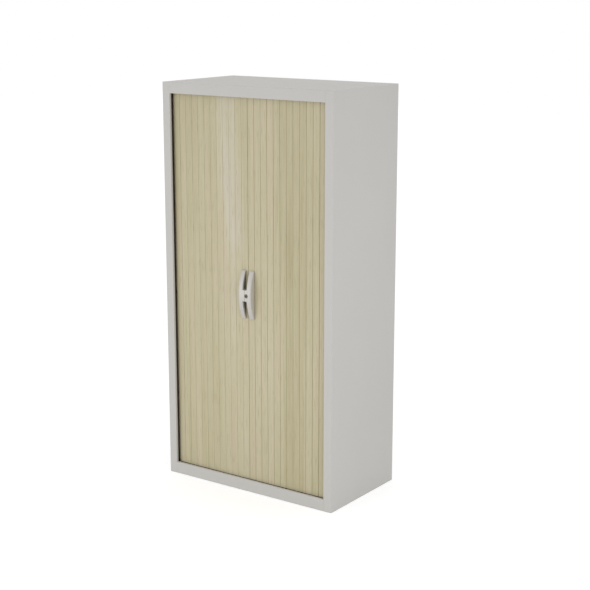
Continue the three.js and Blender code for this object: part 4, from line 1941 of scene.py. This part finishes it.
@dataclass
class Pulls:
    """Two bowed pulls with half a lock housing each, and the lock cylinder."""

    shop: Workshop
    at: Layout
    finish: SatinSilver = SatinSilver()
    metal: PlatedSteel = PlatedSteel()
    flange_metal: PlatedSteel = PlatedSteel(name="lock_face", color=linear(101, 100, 97), rough=0.42)
    core_metal: PlatedSteel = PlatedSteel(name="lock_core", color=linear(82, 81, 80), rough=0.42)
    height: float = 192.0
    bow: float = 28.0
    tip: float = 7.0
    inner: float = 9.8
    outer: float = 30.0
    outer_tip: float = 29.5
    # Painted shade in the finger hollow: none within rim of the front, full at full_tone deep
    rim: float = 2.5
    rim_slack: Flat = (0.2, 0.5)
    full_tone: float = 19.0
    scoop: float = 8.0
    outer_round: float = 4.0
    round_share: float = 0.55
    inner_round: float = 1.5
    joined_round: float = 0.8
    under_gap: float = 6.5
    under_cut: float = 2.2
    under_edge: float = 0.4
    # Shares of the undercut's width and height, from the slat up
    under_shape: tuple[Flat, ...] = ((1.0, 0.0), (1.0, 0.4), (0.8, 0.75), (0.35, 0.95))
    # Shares of the depth and of the finger hollow's reach, from the front back
    hollow_shape: tuple[Flat, ...] = (
        (0.2, 0.0),
        (0.37, 0.0),
        (0.4, 0.55),
        (0.46, 0.88),
        (0.55, 1.0),
        (0.68, 1.0),
        (0.8, 0.92),
        (0.93, 0.7),
        (1.0, 0.6),
    )
    tip_round: float = 5.0
    tip_steps: tuple[float, ...] = (0.0, 0.15, 0.5, 1.0, 1.7, 2.6, 3.8, 5.0)
    bow_steps: int = 14
    fillet_steps: int = 6
    boss_steps: int = 5
    side_steps: int = 2
    round_steps: int = 6
    front_steps: int = 9
    inner_steps: int = 5
    sharp: float = 32.0
    front_round: float = 2.6
    crown: float = 0.5
    boss: float = 22.0
    boss_gap: float = 0.4
    boss_fillet: float = 2.4
    boss_round: float = 1.3
    lock_x: float = 9.0
    barrel: float = 6.0
    flange: float = 8.0
    bore_gap: float = 0.3
    proud: float = 0.6
    housing: float = 11.0
    hub: float = 5.2
    reach: float = 18.0
    pocket_gap: float = 1.4
    hook_gap: float = 3.0
    hook_sheet: float = 2.2
    spindle: float = 3.0
    core: float = 4.3
    core_depth: float = 1.5
    core_edge: Flat = (0.5, 0.3)
    core_rim: Flat = (0.05, 0.2)
    core_round: float = 0.25
    flange_soft: tuple[Flat, ...] = ((0.4, 0.0), (0.1, 0.12), (0.0, 0.5))
    key: Point = (1.5, 5.0, 6.0)
    bore_sides: int = 48
    lock_sides: int = 64
    lock_sharp: float = 30.0
    spare: float = 2.0
    seat: float = 0.3

    def bowed(self, rise: float) -> float:
        """Gives how far a pull stands in front of the slats.

        Args:
            rise: Height from the pull's middle.

        Returns:
            The distance.
        """
        half = self.height / 2
        sag = self.bow - self.tip
        radius = (half * half + sag * sag) / (2 * sag)
        return self.bow - radius + math.sqrt(radius * radius - rise * rise)

    def easing(self, rise: float, radius: float) -> float:
        """Gives how much a round at the tip takes away at a height."""
        left = min(self.height / 2 - abs(rise), radius)
        return radius - math.sqrt(max(0.0, radius * radius - (radius - left) ** 2))

    def ring(self, rise: float, inner: float, joined: float) -> list[Point]:
        """Gives one ring of the right-hand pull.

        Args:
            rise: Its height from the pull's middle.
            inner: X of its inner side.
            joined: 0 on the open bow, 1 in the lock housing.

        Returns:
            The ring's points.
        """
        share = abs(rise) / (self.height / 2)
        ahead = self.bowed(rise) - self.easing(rise, self.front_round)
        outer = self.outer + (self.outer_tip - self.outer) * share**2
        outer -= self.easing(rise, self.tip_round)
        inner = inner + self.easing(rise, self.inner_round)
        hollow = self.scoop * (1 - share * share) * (1 - joined)
        soft = self.inner_round * (1 - joined) + self.joined_round * joined
        middle = (self.inner + self.outer) / 2
        half = (self.outer - self.inner) / 2

        def front(x: float) -> float:
            """Gives the crowned front's place at an x."""
            return ahead - self.crown * min(1.0, ((x - middle) / half) ** 2)

        r = min(self.outer_round, self.round_share * front(outer))
        arch = 1 - share * share
        gap = self.under_gap * arch + self.under_edge
        cut = self.under_cut * arch
        section: list[Flat] = [(outer - cut * u, gap * v) for u, v in self.under_shape]
        wall, steps = front(outer) - r - gap, self.side_steps
        section += [(outer, gap + wall * k / steps) for k in range(steps + 1)]
        section += arc((outer - r, front(outer) - r), r, 0, 90, self.round_steps)[1:]
        span, steps = outer - r - inner - soft, self.front_steps
        section += [(x, front(x)) for x in (outer - r - span * k / steps for k in range(1, steps))]
        section += arc((inner + soft, front(inner) - soft), soft, 90, 180, self.inner_steps)
        depth = front(inner) - soft
        section += [(inner + hollow * share_in, depth * (1 - t)) for t, share_in in self.hollow_shape]
        return [(x, self.at.slat_face - y, self.at.middle + rise) for x, y in section]

    def stations(self) -> list[tuple[float, float, float]]:
        """Places the rings of the upper half, from the tip down.

        Returns:
            The height, inner side and housing share of each.
        """
        half = self.height / 2
        rows = [(half - step, self.inner, 0.0) for step in self.tip_steps]
        start = self.boss + self.boss_fillet
        top, steps = half - self.tip_steps[-1], self.bow_steps
        rows += [(top - (top - start) * k / steps, self.inner, 0.0) for k in range(1, steps)]
        for k in range(self.fillet_steps + 1):
            angle = math.pi / 2 * k / self.fillet_steps
            x = self.inner - self.boss_fillet * (1 - math.cos(angle))
            rows.append((start - self.boss_fillet * math.sin(angle), x, 1 - math.cos(angle)))
        end = self.boss_gap + self.boss_round
        for k in range(self.boss_steps + 1):
            angle = math.pi / 2 * k / self.boss_steps
            x = end - self.boss_round * math.sin(angle)
            rows.append((self.boss - self.boss_round * (1 - math.cos(angle)), x, 1.0))
        below, steps = self.boss - self.boss_round, self.fillet_steps
        rows += [(below * (1 - k / steps), self.boss_gap, 1.0) for k in range(1, steps + 1)]
        return rows

    def pull(self, side: Side) -> Piece:
        """Makes a pull, with the hook's pocket behind its housing and the lock's bore on the right.

        Args:
            side: The hand.

        Returns:
            The pull.
        """
        at = self.at
        upper = self.stations()
        rows = [*upper, *((-rise, x, joined) for rise, x, joined in reversed(upper[:-1]))]
        piece = skinned(side.word + "_bow_pull", [self.ring(*row) for row in rows])
        wall = at.slat_face - self.bow + self.housing
        right = side is Side.RIGHT
        reach = self.lock_x + self.hub if right else self.reach - self.lock_x
        low, high = at.middle - self.reach, at.middle + self.hub
        pocket = box(
            "pocket",
            (self.boss_gap - self.spare, wall, low - self.pocket_gap),
            (reach + self.pocket_gap, at.slat_face + self.spare, high + self.pocket_gap),
        )
        cutters = [pocket]
        if right:
            bore = self.barrel + self.bore_gap
            front, rear = at.slat_face - self.bow - self.spare, wall + self.spare
            profile = [(0.0, front), (bore, front), (bore, rear), (0.0, rear)]
            cutters.append(turned("bore", profile, (self.lock_x, at.middle), self.bore_sides))
        piece = mirrored(shade(carve(piece, cutters), self.sharp), side)
        self.mark_hollow(piece)
        return piece

    def mark_hollow(self, piece: Piece) -> None:
        """Writes how far each point lies in the finger hollow, which gets painted shade.

        Args:
            piece: The pull.
        """
        before, behind = self.rim_slack
        marks = piece.data.attributes.new("hollow", "FLOAT", "POINT")
        for vertex, mark in zip(piece.data.vertices, marks.data):
            place = vertex.co / MM
            rise = abs(place.z - self.at.middle)
            depth = self.bowed(min(rise, self.height / 2)) - (self.at.slat_face - place.y)
            aside = abs(place.x) - self.inner
            if aside < -before or aside > self.scoop + behind or depth < self.rim:
                continue
            ends = min((rise - self.boss) / self.rim, (self.height / 2 - rise) / self.tip_round, 1.0)
            share = min(1.0, (depth - self.rim) / (self.full_tone - self.rim))
            mark.value = max(0.0, ends * share)

    def cylinder(self) -> Piece:
        """Turns the lock cylinder with a sunk core and cuts its key slot.

        Returns:
            The cylinder, with its flange and its core in their own metals.
        """
        at = self.at
        face = at.slat_face - self.bow - self.proud
        hook = at.slat_face - self.bow + self.housing + self.hook_gap
        end = hook + self.hook_sheet + self.seat
        sunk = face + self.core_depth
        rim, low = self.core + self.core_rim[0], face + self.core_rim[1]
        profile = [
            (0.0, sunk),
            (self.core - self.core_edge[0], sunk),
            (self.core, sunk - self.core_edge[1]),
            (rim, low),
            (self.core + self.core_round, face),
            *((self.flange - inset, face + fall) for inset, fall in self.flange_soft),
            (self.barrel, face + self.flange_soft[-1][1]),
            (self.barrel, hook - self.seat),
            (self.spindle, hook - self.seat),
            (self.spindle, end),
            (0.0, end),
        ]
        piece = turned("lock_cylinder", profile, (self.lock_x, at.middle), self.lock_sides)
        width, depth, tall = self.key
        slot = box(
            "key",
            (self.lock_x - width / 2, face - self.spare, at.middle - tall / 2),
            (self.lock_x + width / 2, face + depth, at.middle + tall / 2),
        )
        piece = shade(carve(piece, [slot]), self.lock_sharp)
        for metal in (self.flange_metal, self.core_metal):
            piece.data.materials.append(self.shop.material(metal))
        for polygon in piece.data.polygons:
            aside = math.hypot(polygon.center.x / MM - self.lock_x, polygon.center.z / MM - at.middle)
            if polygon.center.y > low * MM and aside < rim:
                polygon.material_index = 1
        return piece

    def build(self) -> None:
        """Builds the pulls and the cylinder of their lock."""
        for side in Side:
            self.shop.fit(self.pull(side), side.word + "_leaf", self.finish, side.word + "_pull")
        self.shop.fit(self.cylinder(), "lock", self.metal, "lock_barrel")


@dataclass
class Fasteners:
    """The screws that hold the pulls, and the rivets of the back panel."""

    shop: Workshop
    at: Layout
    metal: PlatedSteel = PlatedSteel()
    coat: PowderCoat = PowderCoat()
    segments: int = 20
    rings: int = 12
    screw_x: float = 18.0
    screw_rise: float = 72.0
    screw_seat: float = 0.6
    screw_head: float = 3.4
    screw_dome: float = 1.6
    rivet_count: int = 7
    rivet_end: float = 90.0
    rivet_share: float = 0.42
    rivet_head: float = 3.6
    rivet_dome: float = 1.5

    def tree(self) -> Tree:
        """Writes the tree that sets a domed head on each point.

        Returns:
            The tree.
        """
        tree = Tree("domed_heads")
        radius = tree.ask("Head radius", float)
        rise = tree.ask("Head rise", float)
        metal = tree.ask("Metal", bpy.types.Material)
        keys = {"Radius": radius, "Segments": self.segments, "Rings": self.rings}
        ball = tree.node("GeometryNodeMeshUVSphere", keys).outputs[0]
        ratio = tree.node("ShaderNodeMath", {0: rise, 1: radius}, operation="DIVIDE").outputs[0]
        flat = tree.node("ShaderNodeCombineXYZ", {"X": 1.0, "Y": ratio, "Z": 1.0}).outputs[0]
        keys = {"Points": tree.geometry, "Instance": ball, "Scale": flat}
        heads = tree.node("GeometryNodeInstanceOnPoints", keys)
        tree.close(heads.outputs[0], metal)
        return tree

    def screws(self, tree: Tree, side: Side) -> Piece:
        """Sets the two screws that hold a pull, on the back of the leading slat.

        Args:
            tree: The tree that sets the heads.
            side: The hand.

        Returns:
            The screws as one piece.
        """
        behind = self.at.path + self.screw_seat
        rises = (-self.screw_rise, self.screw_rise)
        places = [(self.screw_x, behind, self.at.middle + rise) for rise in rises]
        row = wire(side.word + "_pull_screws", places)
        metal = self.shop.material(self.metal)
        tree.grow(row, Head_radius=self.screw_head * MM, Head_rise=self.screw_dome * MM, Metal=metal)
        return mirrored(row, side)

    def rivets(self, tree: Tree) -> Piece:
        """Sets the rivets that hold the back panel to the rear flanges.

        Args:
            tree: The tree that sets the heads.

        Returns:
            The rivets as one piece.
        """
        at = self.at
        run = at.height - 2 * self.rivet_end
        rises = [self.rivet_end + run * k / (self.rivet_count - 1) for k in range(self.rivet_count)]
        aside = at.opening + at.stile * self.rivet_share
        places = [(side.value * aside, at.back, rise) for side in Side for rise in rises]
        row = wire("rear_rivets", places)
        coat = self.shop.material(self.coat)
        tree.grow(row, Head_radius=self.rivet_head * MM, Head_rise=self.rivet_dome * MM, Metal=coat)
        return row

    def build(self) -> None:
        """Sets the screws and the rivets."""
        tree = self.tree()
        for side in Side:
            self.shop.fit(self.screws(tree, side), side.word + "_leaf", self.metal)
        self.shop.fit(self.rivets(tree), "carcass", self.coat)


# The studio


@dataclass(frozen=True)
class Lamp:
    """A soft square lamp, in metres and watts."""

    name: str
    place: Point
    aim: Point
    size: float
    watts: float

    def hang(self) -> None:
        """Puts the lamp into the scene."""
        data = bpy.data.lights.new(self.name, "AREA")
        data.size = self.size
        data.energy = self.watts
        lamp = bpy.data.objects.new(self.name, data)
        lamp.location = self.place
        lamp.rotation_mode = "QUATERNION"
        lamp.rotation_quaternion = (Vector(self.aim) - Vector(self.place)).to_track_quat("-Z", "Y")
        lamp.visible_camera = False
        bpy.context.scene.collection.objects.link(lamp)


@dataclass(frozen=True)
class Studio:
    """The camera at the photograph's angle, the floor and the soft light."""

    azimuth: float = 35.405
    elevation: float = 12.969
    distance: float = 5.3964
    aside: float = 0.06027
    depth: float = 0.0048
    height: float = 0.75803
    lens: float = 82.79
    ambient: float = 0.85
    floor_glow: float = 0.375
    floor_size: float = 30.0
    floor_drop: float = 0.2
    floor_color: Rgb = (0.82, 0.82, 0.82)
    white: Rgb = (1.0, 1.0, 1.0)
    sensor: float = 36.0
    sight: float = 100.0
    lamps: tuple[Lamp, ...] = (
        Lamp("front_lamp", (-1.7, -2.9, 0.66), (0.0, 0.0, 0.66), 1.2, 14.0),
        Lamp("side_lamp", (1.9, -1.0, 0.9), (0.4, -0.05, 0.8), 1.2, 6.0),
        Lamp("low_lamp", (-0.3, -1.25, 0.3), (0.0, -0.2, 0.25), 0.5, 0.3),
    )

    def camera(self) -> None:
        """Sets up the camera."""
        a, e = math.radians(self.azimuth), math.radians(self.elevation)
        back = Vector((math.sin(a) * math.cos(e), -math.cos(a) * math.cos(e), math.sin(e)))
        right = Vector((math.cos(a), math.sin(a), 0.0))
        target = right * self.aside + Vector((0.0, self.depth, self.height))
        data = bpy.data.cameras.new("camera")
        data.sensor_width = self.sensor
        data.lens = self.lens
        data.clip_end = self.sight
        camera = bpy.data.objects.new("camera", data)
        camera.location = target + back * self.distance
        camera.rotation_mode = "QUATERNION"
        camera.rotation_quaternion = (-back).to_track_quat("-Z", "Y")
        bpy.context.scene.collection.objects.link(camera)
        bpy.context.scene.camera = camera

    def seen(self, graph: Graph) -> Socket:
        """Finds the rays that show the background: from the camera, a reflection or through glass.

        Args:
            graph: The material or world that is being built.

        Returns:
            1 on those rays, 0 on the others.
        """
        rays = graph.node("ShaderNodeLightPath").outputs
        keys = {0: rays["Is Camera Ray"], 1: rays["Is Glossy Ray"]}
        either = graph.node("ShaderNodeMath", keys, operation="MAXIMUM").outputs[0]
        keys = {0: either, 1: rays["Is Transmission Ray"]}
        return graph.node("ShaderNodeMath", keys, operation="MAXIMUM").outputs[0]

    def world(self) -> None:
        """Makes a white background that lights the object softly from all round."""
        world = bpy.data.worlds.new("studio")
        bpy.context.scene.world = world
        world.use_nodes = True
        graph = Graph(world.node_tree)
        graph.tree.nodes.clear()
        white = (*self.white, 1.0)
        lit = graph.node("ShaderNodeBackground", {"Color": white, "Strength": self.ambient}).outputs[0]
        shown = graph.node("ShaderNodeBackground", {"Color": white}).outputs[0]
        mix = graph.node("ShaderNodeMixShader", {0: self.seen(graph), 1: lit, 2: shown})
        graph.node("ShaderNodeOutputWorld", {"Surface": mix.outputs[0]})

    def floor(self) -> None:
        """Lays a pale floor that keeps a faint shadow."""
        half = self.floor_size / 2 / MM
        corners = ((-half, -half), (half, -half), (half, half), (-half, half))
        plane = shell("floor", [(x, y, -self.floor_drop) for x, y in corners], [(0, 1, 2, 3)])
        material = bpy.data.materials.new("pale_floor")
        material.use_nodes = True
        graph = Graph(material.node_tree)
        graph.tree.nodes.clear()
        matt = graph.node("ShaderNodeBsdfDiffuse", {"Color": (*self.floor_color, 1.0)})
        keys = {0: self.seen(graph), 1: self.floor_glow}
        shown = graph.node("ShaderNodeMath", keys, operation="MULTIPLY")
        glow = graph.node("ShaderNodeEmission", {"Strength": shown.outputs[0]})
        both = graph.node("ShaderNodeAddShader", {0: matt.outputs[0], 1: glow.outputs[0]})
        graph.node("ShaderNodeOutputMaterial", {"Surface": both.outputs[0]})
        plane.data.materials.append(material)

    def build(self) -> None:
        """Sets up the whole studio."""
        bpy.context.scene.view_settings.view_transform = "Standard"
        self.camera()
        self.world()
        self.floor()
        for lamp in self.lamps:
            lamp.hang()


def main() -> None:
    """Builds the cabinet round its frame and logs each piece."""
    logging.basicConfig(level=logging.INFO, format="%(name)s %(message)s")
    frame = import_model()
    Studio().build()
    shop = Workshop()
    at = Layout()
    Carcass(shop, at).build()
    Interior(shop, at).build()
    Tracks(shop, at).build()
    for side in Side:
        Curtain(shop, at, side).build()
    Pulls(shop, at).build()
    Fasteners(shop, at).build()
    for name in ("base_pan", "head_pan"):
        shop.paint(frame["nodes"][name], PowderCoat())
    for name in ("lock_hook", "keeper_pin"):
        shop.paint(frame["nodes"][name], PlatedSteel())
    LOG.info("%d pieces shown", shop.shown)


if __name__ == "__main__":
    main()
